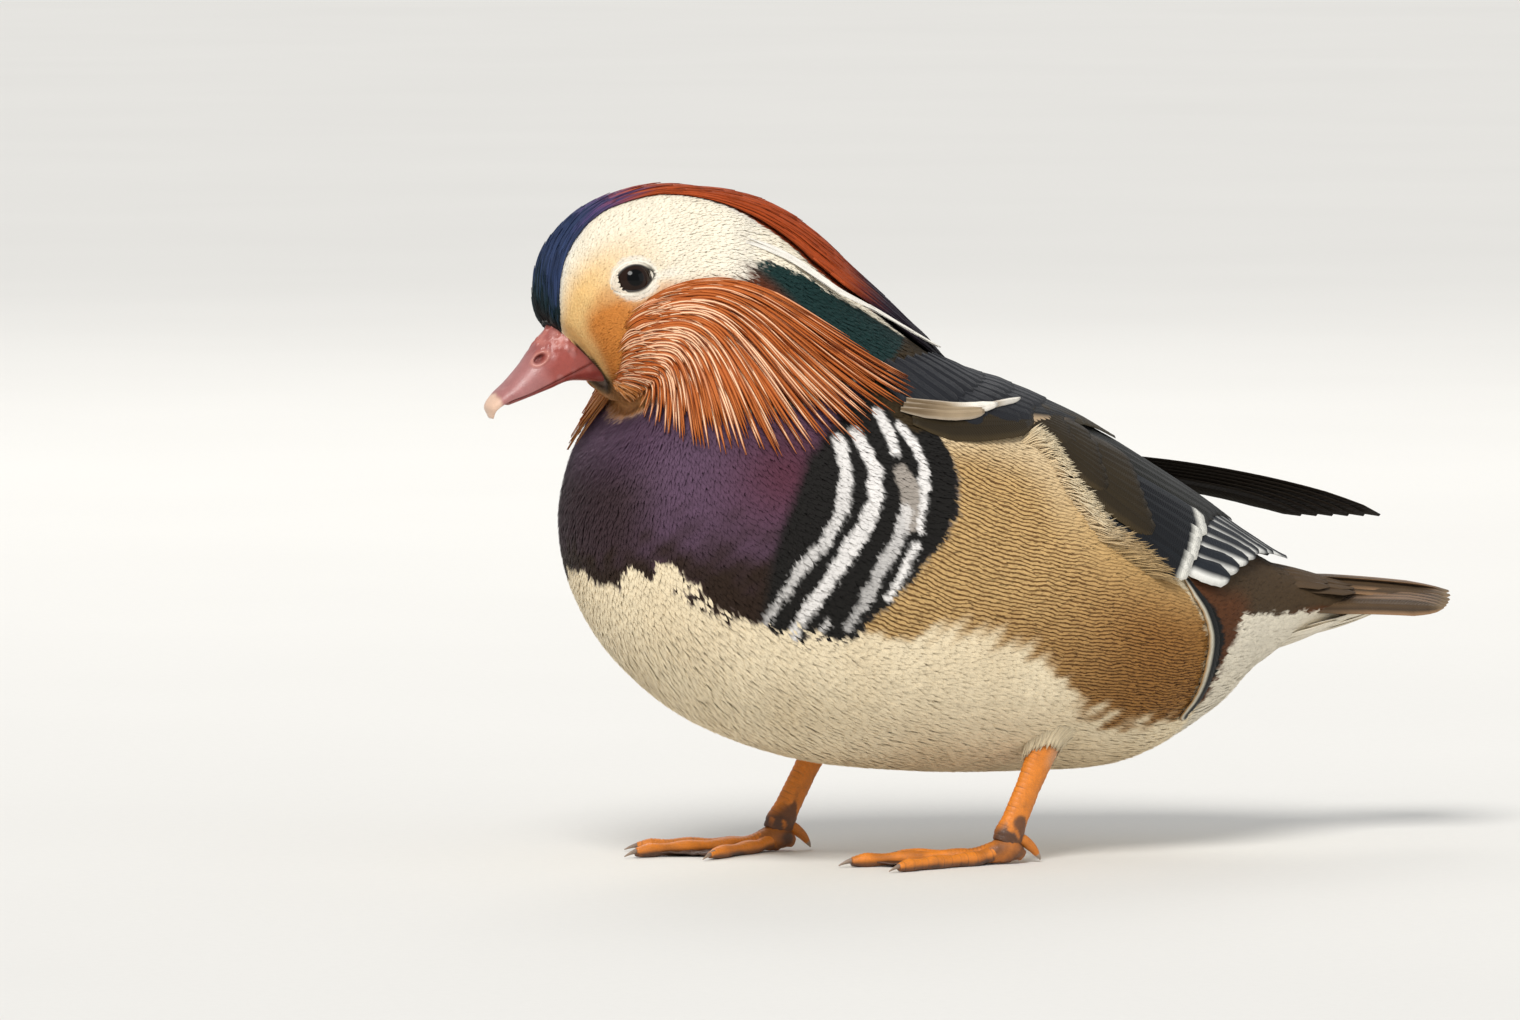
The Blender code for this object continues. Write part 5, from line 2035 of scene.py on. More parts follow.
@dataclass
class SideTrim:
    """Fine trimmings of one side: flank fringe, flank crescent and white nape line."""

    side: Side
    quill_finish: Finish
    silk_finish: Finish
    count: int = 620
    crescent: Pairs = ((14.72, 66), (15.02, 74), (15.28, 82), (15.46, 94), (15.48, 111),
                       (15.44, 122), (15.36, 131), (15.50, 137))
    # the white line under the crest, as (rib, angle, lift in mm)
    nape: tuple = ((5.3, 45, 0.1), (6.1, 39, 0.8), (6.8, 34.5, 2.2), (7.4, 26.5, 3.2),
                   (7.9, 21.5, 4.0), (8.4, 17.5, 4.4))

    def make_fringe(self) -> Piece:
        """The soft pale barbs along the flank's upper edge.

        Returns:
            The piece.
        """
        draw = np.random.default_rng(61)
        form = VaneForm(7, (-1, 0, 1), .00010, .00010, .00016)
        t = np.linspace(0, 1, form.stations)
        start = 10.9 + 3.3 * draw.uniform(0, 1, self.count)
        deep = draw.uniform(2.0, 5.5, self.count)
        rib = start[:, None] + draw.uniform(.25, .50, self.count)[:, None] * t
        edge = profile(MARKINGS.flank_top, rib)
        reach = draw.uniform(2.5, 5.5, self.count)[:, None] * t
        angle = edge + deep[:, None] - reach * 1.15
        angle += draw.normal(0, .8, self.count)[:, None] * t
        lift = (-.0002 + .0034 * np.sin(np.pi / 2 * t)
                + draw.normal(0, .00030, self.count)[:, None] * t)
        half = .00022 * profile(((0, .6), (.3, 1), (.7, .7), (1, .1)), t)
        made, shape = lay_vanes(f"fringe_{self.side.word}", rib, angle * self.side.turn,
                                np.broadcast_to(half, rib.shape), lift, form,
                                self.quill_finish)
        luck = draw.uniform(-1, 1, self.count)[:, None, None, None]
        out_there = smooth(.2, .9, t[None, :, None] + np.zeros(shape))
        rear = smooth(12.6, 13.6, start)[:, None, None] + np.zeros(shape)
        tint = painted(Hue.GOLD_PALE.value, (out_there * .85, Hue.FRINGE.value))
        tint_vanes(made, painted(tint * (1 + .08 * luck),
                                 (rear * .85, np.array(Hue.GOLD.value) * .8)))
        return made

    def make_nape_line(self) -> Piece:
        """Fine white strands along the line between the crest and the green neck.

        Returns:
            The piece.
        """
        draw = np.random.default_rng(67)
        count = 150
        form = VaneForm(9, (-1, 0, 1), .00012, .00010, .00018)
        t = np.linspace(0, 1, form.stations)
        start = draw.uniform(0, 3.9, count)
        long = draw.uniform(.9, 1.4, count)[:, None]
        place = np.clip(start[:, None] + long * t, 0, 4.999)
        row = curve_at(self.nape, place)
        spread = profile(((0, 3.0), (2, 1.6), (5, .5)), place)
        angle = row[..., 1] + draw.uniform(-1, 1, count)[:, None] * spread
        lift = (row[..., 2] + draw.normal(0, .10, count)[:, None]) * MM
        half = profile(((0, .00042), (5, .00030)), place) * profile(
            ((0, .08), (.3, 1), (.7, .8), (1, .1)), t)
        made, shape = lay_vanes(f"nape_{self.side.word}", row[..., 0],
                                angle * self.side.turn, half, lift, form, self.silk_finish)
        luck = draw.uniform(-1, 1, count)[:, None, None, None]
        tint_vanes(made, np.array((.86, .82, .74)) * (1 + .06 * luck)
                   + np.zeros((*shape, 3)))
        return made

    def make_crescent(self) -> Piece:
        """The black crescent with its pale line that ends the flank.

        Returns:
            The piece.
        """
        cream, rust = (.84, .78, .62), (.34, .20, .07)
        hues = [(-1, (.30, .16, .05)), (-.96, rust), (-.90, cream), (-.52, cream),
                (-.46, Hue.INK.value), (1, Hue.INK.value)]
        if self.side is Side.LEFT:
            hues = [(-place, hue) for place, hue in reversed(hues)]
        form = VaneForm(60, (-1, -.96, -.90, -.52, -.46, 0, .5, 1), 0, .0003, .0005)
        t = np.linspace(0, 1, form.stations)
        places = curve_at(self.crescent, t * (len(self.crescent) - 1))
        half = profile(((0, .5), (.15, 1.7), (.5, 2.6), (.85, 2.0), (1, .25)), t) * MM
        rise = .0017 * np.sin(np.pi * np.clip(t * 1.06 - .03, 0, 1)) ** .35
        top, out = on_body_vanes(places[None, :, 0], places[None, :, 1] * self.side.turn,
                                 half[None] + .00010 * np.sin(t * 90), rise[None], form)
        made = vane_mesh(f"crescent_{self.side.word}", top, out, form, self.quill_finish)
        tint = np.stack([profile([(place, hue[k]) for place, hue in hues],
                                 np.array(form.asides)) for k in range(3)], -1)
        tint_vanes(made, tint + np.zeros(top.shape), .1)
        return made


@dataclass
class Tail:
    """Tail quills in a fan, with coverts above and below."""

    finish: Finish
    # the uppermost quill's tip and root as (x, z), and the gap between tips in y
    tip: tuple[float, float] = (.1675, .0785)
    root: tuple[float, float] = (.1060, .0848)
    side_count: int = 6
    fan: float = .0040
    # how far each quill lies below the uppermost at root and tip, in mm
    root_levels: tuple[float, ...] = (0, 1.2, 3.9, 5.6, 7.0, 8.2)
    tip_levels: tuple[float, ...] = (0, .5, 1.5, 2.1, 2.6, 3.0)
    quill_halves: Pairs = ((0, 2.8), (.3, 5.152), (.8, 5.6), (.93, 3.696), (1, .56))
    # kind, first and last x, height, how many, half width in mm
    coverts: tuple = (
        (Quill.UNDERTAIL, .098, .126, .0652, 9, 4.8),
        (Quill.UNDERTAIL, .106, .136, .0682, 8, 4.6),
        (Quill.UNDERTAIL, .114, .1455, .0700, 7, 4.2),
        (Quill.RUMP, .096, .123, .0895, 9, 4.4), (Quill.RUMP, .103, .133, .0870, 8, 4.4))
    form: VaneForm = VaneForm(20, (-1, -.55, -.10, 0, .10, .55, 1), .00030, .0005, .00040)

    def _row(self, kind: Quill, roots: Array, tips: Array, ups: Array,
             halves: Pairs, bow: float) -> tuple:
        """One set of vanes with its colours.

        Args:
            kind: What they are.
            roots: Where they start.
            tips: Where they end.
            ups: Which way their upper faces look.
            halves: Half width in mm along them.
            bow: How far their middles are bent up.

        Returns:
            Upper points, directions out, colours and gloss.
        """
        t = np.linspace(0, 1, self.form.stations)
        ups = unit(ups)
        path = roots[:, None] + (tips - roots)[:, None] * t[None, :, None]
        path = path + ups[:, None] * (bow * np.sin(np.pi * t))[None, :, None]
        half = np.broadcast_to(profile(halves, t) * MM, path.shape[:2])
        top, out = free_vanes(path, np.broadcast_to(ups[:, None], path.shape), half,
                              self.form)
        luck = np.random.default_rng(len(roots)).uniform(-1, 1, len(roots))
        return (top, out, *quill_tint(kind, np.zeros((1, 1, 1)), t[None, :, None],
                                      np.array(self.form.asides), luck[:, None, None]))

    def make(self) -> Piece:
        """The tail's piece.

        Returns:
            The piece.
        """
        quills = []
        for side in Side:
            for i in range(self.side_count):
                under = 0 if i == 0 and side is Side.LEFT else .0005
                quills.append((
                    (self.root[0], side.value * (.0014 + .0014 * i),
                     self.root[1] - self.root_levels[i] * MM - under),
                    (self.tip[0] - .0016 * i ** 1.25, side.value * (.0018 + self.fan * i),
                     self.tip[1] - self.tip_levels[i] * MM - under),
                    (0, side.value * (.38 + .03 * i), 1)))
        rows = [self._row(Quill.TAIL, *np.array(quills, float).swapaxes(0, 1),
                          self.quill_halves, .0008)]
        for row in self.coverts:
            rows.append(self._covert_row(*row))
        top, out, tint, gloss = (np.concatenate(part) for part in zip(*rows))
        made = vane_mesh("tail_feathers", top, out, self.form, self.finish)
        tint_vanes(made, tint, gloss)
        return made

    def _covert_row(self, kind: Quill, start: float, end: float, level: float,
                    count: int, wide: float) -> tuple:
        """One row of coverts, across the tail's root.

        Args:
            kind: White ones under the tail or brown ones above.
            start: x of the roots.
            end: x of the middle tip.
            level: Height of the row.
            count: How many.
            wide: Half width in mm.

        Returns:
            Upper points, directions out, colours and gloss.
        """
        place = np.arange(count) - (count - 1) / 2
        around = np.abs(place) / count
        if kind is Quill.UNDERTAIL:
            gaps, draw_in, late, bow, up = (.0026, .0034), .010, .70, .0010, -1.0
            rise = (-.0048 + .020 * around ** 2, .0036 + .010 * around ** 2)
        else:
            gaps, draw_in, late, bow, up = (.0030, .0030), .008, .75, .0006, 1.0
            rise = (.0010 - .024 * around ** 2, -.0050 - .012 * around ** 2)
        roots = np.stack([np.full(count, start), place * gaps[0], level + rise[0]], -1)
        tips = np.stack([end - draw_in * around, place * gaps[1], level + rise[1]], -1)
        lean = place * (.10 if up < 0 else .12)
        ups = np.stack([np.zeros(count), lean, np.full(count, up)], -1)
        halves = tuple((t, wide * share) for t, share in
                       ((0, .5), (.4, 1), (.8, late), (1, .12)))
        return self._row(kind, roots, tips, ups, halves, bow)


@dataclass(frozen=True)
class TintedFinish:
    """A horny or skinny surface whose broad colours are laid on the mesh as tint."""

    name: str
    # how fine both mottles are, how strong in colour and in relief
    roughness: float
    coarse: float
    fine: float
    amount: float
    relief: float
    depth: float = .0003
    cells: float = 0.0
    coat: float = 0.0
    specular: float = .5

    def make(self) -> Finish:
        """The material.

        Returns:
            The material.
        """
        made, t, shader = new_material(self.name)
        point = t.object_point()
        mottle = Groups.place(t, "mottle", Point=point, Coarse=self.coarse, Fine=self.fine,
                              Amount=self.amount)
        tone = mottle.outputs["Tone"]
        height = mottle.outputs["Height"]
        # scutes, as cells with dark seams
        if self.cells:
            cell = t.add("ShaderNodeTexVoronoi", feature="DISTANCE_TO_EDGE")
            t.feed(cell.inputs["Scale"], self.cells)
            t.link(point, cell.inputs["Vector"])
            edge = t.span(cell.outputs["Distance"], 0.0, .10, 0.0, 1.0)
            tone = t.maths("MULTIPLY", tone, t.span(edge, 0.0, 1.0, .86, 1.0))
            height = t.maths("ADD", t.maths("MULTIPLY", height, .4), edge)
        t.link(t.shade(t.laid("tint", "Color"), tone), shader.inputs["Base Color"])
        t.link(t.span(mottle.outputs["Height"], -.4, .4, self.roughness - .06,
                      self.roughness + .10), shader.inputs["Roughness"])
        shader.inputs["Coat Weight"].default_value = self.coat
        shader.inputs["Specular IOR Level"].default_value = self.specular
        bump(t, shader, height, self.relief, self.depth)
        return made


def tube_points(path: Array, halves: Array, around: int, up: Spot) -> Array:
    """Rings of points round a path.

    Args:
        path: The middle of each ring.
        halves: Depth and width of each ring.
        around: Points in a ring.
        up: Which way the first point of a ring looks.

    Returns:
        Points as ring, place round it, xyz.
    """
    along = unit(np.gradient(path, axis=0))
    across = unit(np.cross(along, np.asarray(up, float)))
    rise = np.cross(across, along)
    turn = np.arange(around) * math.tau / around
    return (path[:, None] + rise[:, None] * (np.cos(turn) * halves[:, :1])[..., None]
            + across[:, None] * (np.sin(turn) * halves[:, 1:])[..., None])


def closed_tube(name: str, rings: Array, finish: Finish, tint: Array) -> Piece:
    """A closed tube through rings, with colours.

    Args:
        name: The piece's name.
        rings: Points as ring, place round it, xyz.
        finish: Its material.
        tint: Colours in the same order.

    Returns:
        The piece.
    """
    mesh = ring_mesh(name, rings, finish)
    tint = np.broadcast_to(tint, rings.shape)
    flat = np.vstack([tint.reshape(-1, 3), tint[0].mean(0), tint[-1].mean(0)])
    write_attribute(mesh, "tint", "FLOAT_COLOR", flat)
    return new_object(name, mesh)


def joined(name: str, parts: list[Piece]) -> Piece:
    """One piece from several.

    Args:
        name: The piece's name.
        parts: Its parts.

    Returns:
        The piece.
    """
    bpy.ops.object.select_all(action="DESELECT")
    for part in parts:
        part.select_set(True)
    bpy.context.view_layer.objects.active = parts[0]
    bpy.ops.object.join()
    parts[0].name = name
    parts[0].data.name = name
    return parts[0]


@dataclass
class Bill:
    """Both halves of the bill, with nostrils, a cream nail and warty skin at the base."""

    finish: Finish
    # the head's front from back to throat, as (x, z)
    back: tuple[float, float] = (-.1468, .1702)
    throat: tuple[float, float] = (-.1285, .1520)
    # ridge and edge as (x, z), and half width, from the base on
    upper: tuple = (((-.1520, .1650), (-.1420, .1567), .0085),
                    ((-.1560, .1597), (-.1490, .1534), .0076),
                    ((-.1610, .1542), (-.1560, .1502), .0068),
                    ((-.1652, .1503), (-.1625, .1478), .0058),
                    ((-.1679, .1466), (-.1660, .1451), .0042),
                    ((-.1672, .1434), (-.1662, .1424), .0018))
    lower: tuple = (((-.1405, .1536), (-.1420, .1564), .0078),
                    ((-.1485, .1510), (-.1490, .1531), .0069),
                    ((-.1560, .1484), (-.1560, .1499), .0060),
                    ((-.1612, .1465), (-.1615, .1478), .0046))
    nostril: tuple[float, float] = (-.1520, .1610)
    nostril_half: tuple[float, float] = (.0023, .0012)
    nostril_turn: float = math.radians(-40)

    def _base(self, share_a: float, share_b: float, half: float, inset: float) -> tuple:
        """A row at the head's front, between two shares of it.

        Args:
            share_a: Where the ridge starts.
            share_b: Where the edge starts.
            half: Half width.
            inset: How far it is sunk in the head.

        Returns:
            The row, as ridge, edge and half width.
        """
        back, down = np.array(self.back), np.array(self.throat) - np.array(self.back)
        ahead = np.array([down[1], -down[0]]) / np.linalg.norm(down)
        shift = -ahead * inset
        return (tuple(back + down * share_a + shift), tuple(back + down * share_b + shift),
                half)

    def _rings(self, rows: list, steps: int, around: int) -> Array:
        """Half ovals from edge to edge over the ridge, closed along the mouth's line.

        Args:
            rows: Ridge, edge and half width.
            steps: How many rings.
            around: Points in a ring.

        Returns:
            Points as ring, place round it, xyz.
        """
        flat = np.array([(*ridge, *edge, half) for ridge, edge, half in rows])
        row = curve_at(flat, np.linspace(0, len(flat) - 1, steps))
        turn = np.radians(np.linspace(-90, 90, around))
        rise = row[:, 0:2] - row[:, 2:4]
        curve = np.sign(np.cos(turn)) * np.abs(np.cos(turn)) ** .8
        place = row[:, None, 2:4] + rise[:, None] * curve[None, :, None]
        wide = row[:, 4:5] * np.sin(turn)
        return np.stack([place[..., 0], wide, place[..., 1]], -1)

    def _relief(self, rings: Array) -> Array:
        """Nostrils with raised rims, and low warts along the base of the ridge.

        Args:
            rings: Points as ring, place round it, xyz.

        Returns:
            The moved points.
        """
        out = unit(rings - rings.mean(1, keepdims=True))
        reach = self._reach(rings)
        flank = smooth(.0030, .0042, np.abs(rings[..., 1]))
        hole = -.0016 * smooth(1.0, .55, reach) * flank
        rim = .00038 * np.exp(-((reach - 1.25) / .28) ** 2) * flank
        base = smooth(-.1560, -.1500, rings[..., 0]) * smooth(.1590, .1640, rings[..., 2])
        warts = .00040 * base * np.maximum(ripple(rings, .0022, 9), 0)
        return rings + out * (hole + rim + warts)[..., None]

    def _reach(self, rings: Array) -> Array:
        """How far points are from the nostril's middle, with 1 at its rim.

        Args:
            rings: Points as ring, place round it, xyz.

        Returns:
            One value a point.
        """
        x, z = rings[..., 0] - self.nostril[0], rings[..., 2] - self.nostril[1]
        cos, sin = math.cos(self.nostril_turn), math.sin(self.nostril_turn)
        return np.hypot((x * cos - z * sin) / self.nostril_half[0],
                        (x * sin + z * cos) / self.nostril_half[1])

    def make_upper(self) -> Piece:
        """The upper half.

        Returns:
            The piece.
        """
        rows = [self._base(-.02, .62, .0090, .0015), *self.upper]
        rings = self._relief(self._rings(rows, 130, 97))
        x, z, reach = rings[..., 0], rings[..., 2], self._reach(rings)
        beside = smooth(.003, .004, np.abs(rings[..., 1]))
        return closed_tube("bill_upper_horn", rings, self.finish, painted(
            self._tint(rings),
            (.35 * smooth(-.1500, -.1545, x + .6 * (z - .16)), (.40, .19, .18)),
            (smooth(.95, .55, reach) * beside * .85, (.14, .015, .010)),
            (np.exp(-((reach - 1.25) / .3) ** 2) * beside * .5, (.62, .26, .20))))

    def make_lower(self) -> Piece:
        """The lower half.

        Returns:
            The piece.
        """
        rows = [self._base(1.02, .60, .0090, .0018), *self.lower]
        rings = self._rings(rows, 80, 65)
        dark = np.full(rings.shape[:2], .55)
        return closed_tube("bill_lower_horn", rings, self.finish,
                           painted(self._tint(rings), (dark, (.30, .045, .030))))

    def _tint(self, rings: Array) -> Array:
        """Dusky red skin, paler and mauve to the front, with a cream nail.

        Args:
            rings: Points as ring, place round it, xyz.

        Returns:
            Colours in the same order.
        """
        x, z = rings[..., 0], rings[..., 2]
        wave = ripple(rings, .0045, 12)
        base = smooth(.1625, .1670, z) * smooth(-.1545, -.1500, x)
        return painted(
            (.30, .060, .046),
            (smooth(-.146, -.158, x + .0010 * wave), (.31, .110, .105)),
            (base * (.6 + .3 * wave), (.46, .16, .13)),
            (smooth(.35, .9, ripple(rings, .006, 14)) * .3, (.42, .21, .20)),
            (smooth(-.1636, -.1652, x + .25 * (z - .146) + .0003 * wave), (.82, .60, .42)))


@dataclass
class Eyes:
    """Glossy eyes between soft lids."""

    gloss: Finish
    lid_skin: Finish
    # half length and half height of the gap between the lids
    opening: tuple[float, float] = (.0054, .0040)
    rings: int = 48
    around: int = 96

    def make_ball(self, side: Side) -> Piece:
        """One eyeball.

        Args:
            side: Which side.

        Returns:
            The piece.
        """
        centre, out, along, up = BODY.eye(side)
        turn = np.arange(self.around) * math.tau / self.around
        wide = np.cos(turn)[:, None] * along + np.sin(turn)[:, None] * up
        lean = np.radians(np.linspace(1.0, 120, self.rings))
        rings = centre + BODY.eye_radius * (
            out * np.cos(lean)[:, None, None] + wide[None] * np.sin(lean)[:, None, None])
        reach = (np.sin(lean) * BODY.eye_radius / .0026)[:, None] * np.ones(self.around)
        tint = painted((.0008, .0008, .0008), (smooth(.95, 1.1, reach), (.016, .007, .004)))
        return closed_tube(f"eyeball_{side.word}", rings, self.gloss, tint)

    def make_lids(self, side: Side) -> Piece:
        """The lids round one eye: a thin dark rim and a pale fold outside it.

        Args:
            side: Which side.

        Returns:
            The piece.
        """
        centre, out, along, up = BODY.eye(side)
        turn = np.arange(self.around) * math.tau / self.around
        corner = 1 + .10 * np.maximum(np.cos(turn - math.pi * 1.06), 0) ** 12
        corner = corner + .07 * np.maximum(np.cos(turn), 0) ** 10
        # how far out, with 1 at the gap's rim, and how high in mm
        steps = ((.90, -.35), (.965, .14), (1.03, .34), (1.10, .30), (1.17, .14),
                 (1.24, .20), (1.33, .06), (1.44, -.30), (1.56, -.9))
        radius = BODY.eye_radius
        rings, tints = [], []
        for wide, high in steps:
            flat = (np.cos(turn)[:, None] * along * self.opening[0]
                    + np.sin(turn)[:, None] * up * self.opening[1])
            flat = flat * (corner * wide)[:, None]
            far = np.linalg.norm(flat, axis=1)
            ball = np.sqrt(np.maximum(radius ** 2 - far ** 2, 0))
            skin = radius - BODY.eye_proud - far ** 2 * 9
            blend = smooth(.98, 1.30, np.full(self.around, wide))
            level = ball * (1 - blend) + np.maximum(skin, .0006) * blend
            fold = 1 + .25 * np.sin(turn * 23) * (wide > 1.1)
            rings.append(centre + flat + out * (level + high * MM * fold)[:, None])
            rim = (1.03 + .24 * np.maximum(np.cos(turn - math.pi * 1.10), 0) ** 8
                   + .12 * np.maximum(np.cos(turn), 0) ** 8)
            dark = smooth(.13, .0, wide - rim)
            shade = np.array((.80, .74, .62)) * (.82 if 1.2 < wide < 1.3 else 1)
            tints.append(painted(shade, (dark, (.016, .012, .010))))
        inner = rings[0] - out * .0010
        rings = np.array([inner] + rings + [rings[-1] - out * .0012])
        tints = np.array([tints[0]] + tints + [tints[-1]])
        grid = np.arange(rings.shape[0] * self.around).reshape(rings.shape[0], -1)
        right = np.roll(grid, -1, axis=1)
        closed = np.roll(grid, -1, axis=0)
        closed_right = np.roll(right, -1, axis=0)
        faces = np.stack([grid, right, closed_right, closed], -1).reshape(-1, 4)
        made = mesh_object(f"lids_{side.word}", rings, faces, self.lid_skin)
        turn_outwards(made.data)
        write_attribute(made.data, "tint", "FLOAT_COLOR", tints.reshape(-1, 3))
        return made


def above_floor(rings: Array) -> Array:
    """The same points, none lower than just over the floor."""
    return np.maximum(rings, (-math.inf, -math.inf, FLOOR_GAP))


@dataclass
class Leg:
    """One leg: a scaled shank, three toes with a web, a small hind toe, and claws."""

    side: Side
    scales: Finish
    down: Finish
    # the foot's middle as (x, y), its heading in degrees, and the top of the shank
    foot: tuple[float, float]
    heading: float
    top: Spot
    depth: float = .0043
    width: float = .0031
    # each front toe's angle in degrees, its length and its half width
    toes: tuple = ((-26.0, .0440, .0023), (0.0, .0500, .0025), (28.0, .0370, .0022))
    claw: float = .0065
    # x and z past the foot's middle, half depth and half width, in mm
    heel: tuple = ((6.0, 2.6, 1.8, 2.0), (3.0, 4.0, 3.4, 3.6), (0, 4.4, 4.2, 4.0),
                   (-3.5, 3.8, 3.6, 3.8), (-8.0, 2.4, 2.2, 2.8))
    hind: tuple = ((1.0, 6.0, 1.8, 1.7), (5.0, 7.6, 1.9, 1.8), (8.8, 5.2, 1.6, 1.5),
                   (11.2, 2.4, .9, .9), (12.2, .8, .2, .2))
    orange: Colour = (.68, .205, .014)
    brown: Colour = (.085, .034, .014)
    grey: Colour = (.16, .11, .085)
    down_hue: Colour = (.66, .55, .37)

    def _turn(self, angle: float) -> float:
        """A toe's heading in radians."""
        return math.radians(self.heading + angle) * self.side.turn

    def _shank(self) -> Piece:
        """The shank, with low scutes down its front and a swollen joint at both ends.

        Returns:
            The part.
        """
        steps, around = 150, 40
        t = np.linspace(0, 1, steps)
        foot, top = np.array([*self.foot, ANKLE_HEIGHT]), np.array(self.top)
        path = top + (foot - top) * t[:, None]
        size = np.interp(t, [0, .2, .55, .82, .93, 1], [1.15, 1.12, .92, .96, 1.14, 1.0])
        rings = tube_points(path, np.stack([size * self.depth, size * self.width], -1),
                            around, (1, 0, 0))
        turn = np.arange(around) * math.tau / around
        front = smooth(.1, .8, -np.cos(turn))[None, :]
        scute = (t * 26) % 1
        ridge = (.00016 * smooth(0, .25, scute) * smooth(1.0, .86, scute))[:, None] * front
        out = unit(rings - rings.mean(1, keepdims=True))
        net = .00010 * ripple(rings, .0018, 3) * (1 - front)
        rings = rings + out * (ridge + net)[..., None]
        wave = ripple(rings, .012, 6)
        groove = smooth(.14, .0, scute)[:, None] * front
        low = smooth(.62, .97, t)[:, None]
        behind = smooth(-.3, .6, np.cos(turn)[None, :] + 1.1 * low)
        blotch = smooth(-.15, .25, ripple(rings, .0050, 9) + 1.7 * low - .75)
        joint = smooth(.86, 1.0, t)[:, None] * (.45 + .30 * wave)
        joint = joint + smooth(.50, .66, t)[:, None] * behind * blotch * .9
        back = smooth(-.2, .9, np.cos(turn))[None, :] * .25 * (1 + wave)
        upper = smooth(.42, .28, t)[:, None] * smooth(-.2, .7, np.cos(turn))[None, :]
        return closed_tube("shank", rings, self.scales, painted(
            self.orange, (.45 * groove, self.brown), (joint, self.brown),
            (back, (.46, .17, .05)), (upper * .5, (.55, .34, .20))))

    def _toe(self, number: int) -> list[Piece]:
        """One front toe and its claw.

        Args:
            number: Which toe, from the inner one.

        Returns:
            The two parts.
        """
        angle, length, half = self.toes[number]
        turn = self._turn(angle)
        ahead = np.array([-math.cos(turn), math.sin(turn), 0])
        start = np.array([*self.foot, 0])
        t = np.linspace(0, 1, 120)
        knuckles = 3.2 if number != 2 else 2.6
        knuckle = 1 + .13 * np.cos(t * math.tau * knuckles) * smooth(0, .2, t)
        scute = (t * length / .00125) % 1
        wide = np.interp(t, [0, .2, .9, 1], [1.35, 1.05, .80, .50]) * half * knuckle
        high = np.interp(t, [0, .2, .9, 1], [1.30, 1.02, .84, .50]) * half * knuckle
        lift = np.interp(t, [0, .25, .9, 1], [1.9, .90, .84, .70]) * half
        aside = ahead[[1, 0, 2]] * np.array([1, -1, 0])
        bend = aside * (.0012 * np.sin(np.pi * t))[:, None]
        path = (start + ahead * (t * length)[:, None] + bend
                + np.array([0, 0, 1]) * lift[:, None])
        rings = tube_points(path, np.stack([high, wide], -1), 28, (0, 0, 1))
        around = np.arange(28) * math.tau / 28
        over = smooth(-.2, .6, np.cos(around))[None, :]
        ridge = (.00013 * smooth(0, .3, scute) * smooth(1, .85, scute))[:, None] * over
        out = unit(rings - path[:, None])
        rings = above_floor(rings + out * ridge[..., None])
        dark = smooth(.3, -.5, np.cos(around))[None, :] * .85
        dark = dark + .35 * smooth(.16, 0, scute)[:, None]
        dark = dark + .35 * np.clip(ripple(rings, .010, 4 + number), 0, 1)
        tint = painted(self.orange, (dark, self.brown))
        toe = closed_tube("toe", rings, self.scales, tint)
        tip = start + ahead * length
        b = np.linspace(0, 1, 24)
        hook = (tip + ahead * (-.0024 + self.claw * b)[:, None]
                + np.array([0, 0, 1]) * (half * (.95 - .70 * b ** 2))[:, None])
        thick = half * (.52 - .45 * b)
        claw = above_floor(tube_points(hook, np.stack([thick, thick * .75], -1), 16,
                                       (0, 0, 1)))
        horn = painted(self.grey, (b[:, None] + np.zeros(claw.shape[:2]), (.30, .22, .16)))
        return [toe, closed_tube("claw", claw, self.scales, horn)]

    def _web(self, number: int) -> Piece:
        """The skin between two toes, slack and scalloped at its edge.

        Args:
            number: The first of the two toes.

        Returns:
            The part.
        """
        a, b = self._turn(self.toes[number][0]), self._turn(self.toes[number + 1][0])
        long_a, long_b = self.toes[number][1], self.toes[number + 1][1]
        t, share = np.meshgrid(np.linspace(.10, 1, 40), np.linspace(0, 1, 41),
                               indexing="ij")
        turn = a + (b - a) * share
        reach = (long_a + (long_b - long_a) * share) * .90
        reach = reach * (1 - .20 * np.sin(np.pi * share) ** .8) * t
        x = self.foot[0] - np.cos(turn) * reach
        y = self.foot[1] + np.sin(turn) * reach
        slack = .0019 - .0007 * np.sin(np.pi * share) * t
        flat = np.stack([x, y, slack], -1)
        slack = slack + .00018 * np.sin(share * 40 + 3 * t) * np.sin(np.pi * share)
        top = np.stack([x, y, slack + .00016 * ripple(flat, .003, 8)], -1)[None]
        form = VaneForm(40, tuple(np.linspace(-1, 1, 41)), 0, 0, .0007)
        up = np.broadcast_to(np.array((0, 0, 1.0)), top.shape)
        made = vane_mesh("web", top, up, form, self.scales)
        blotch = .35 * (1 + ripple(top[0], .009, 5))
        tint = painted(self.brown, (blotch, (.035, .018, .012)),
                       (smooth(.55, .10, t) * .5, self.orange))
        tint_vanes(made, tint[None])
        return made

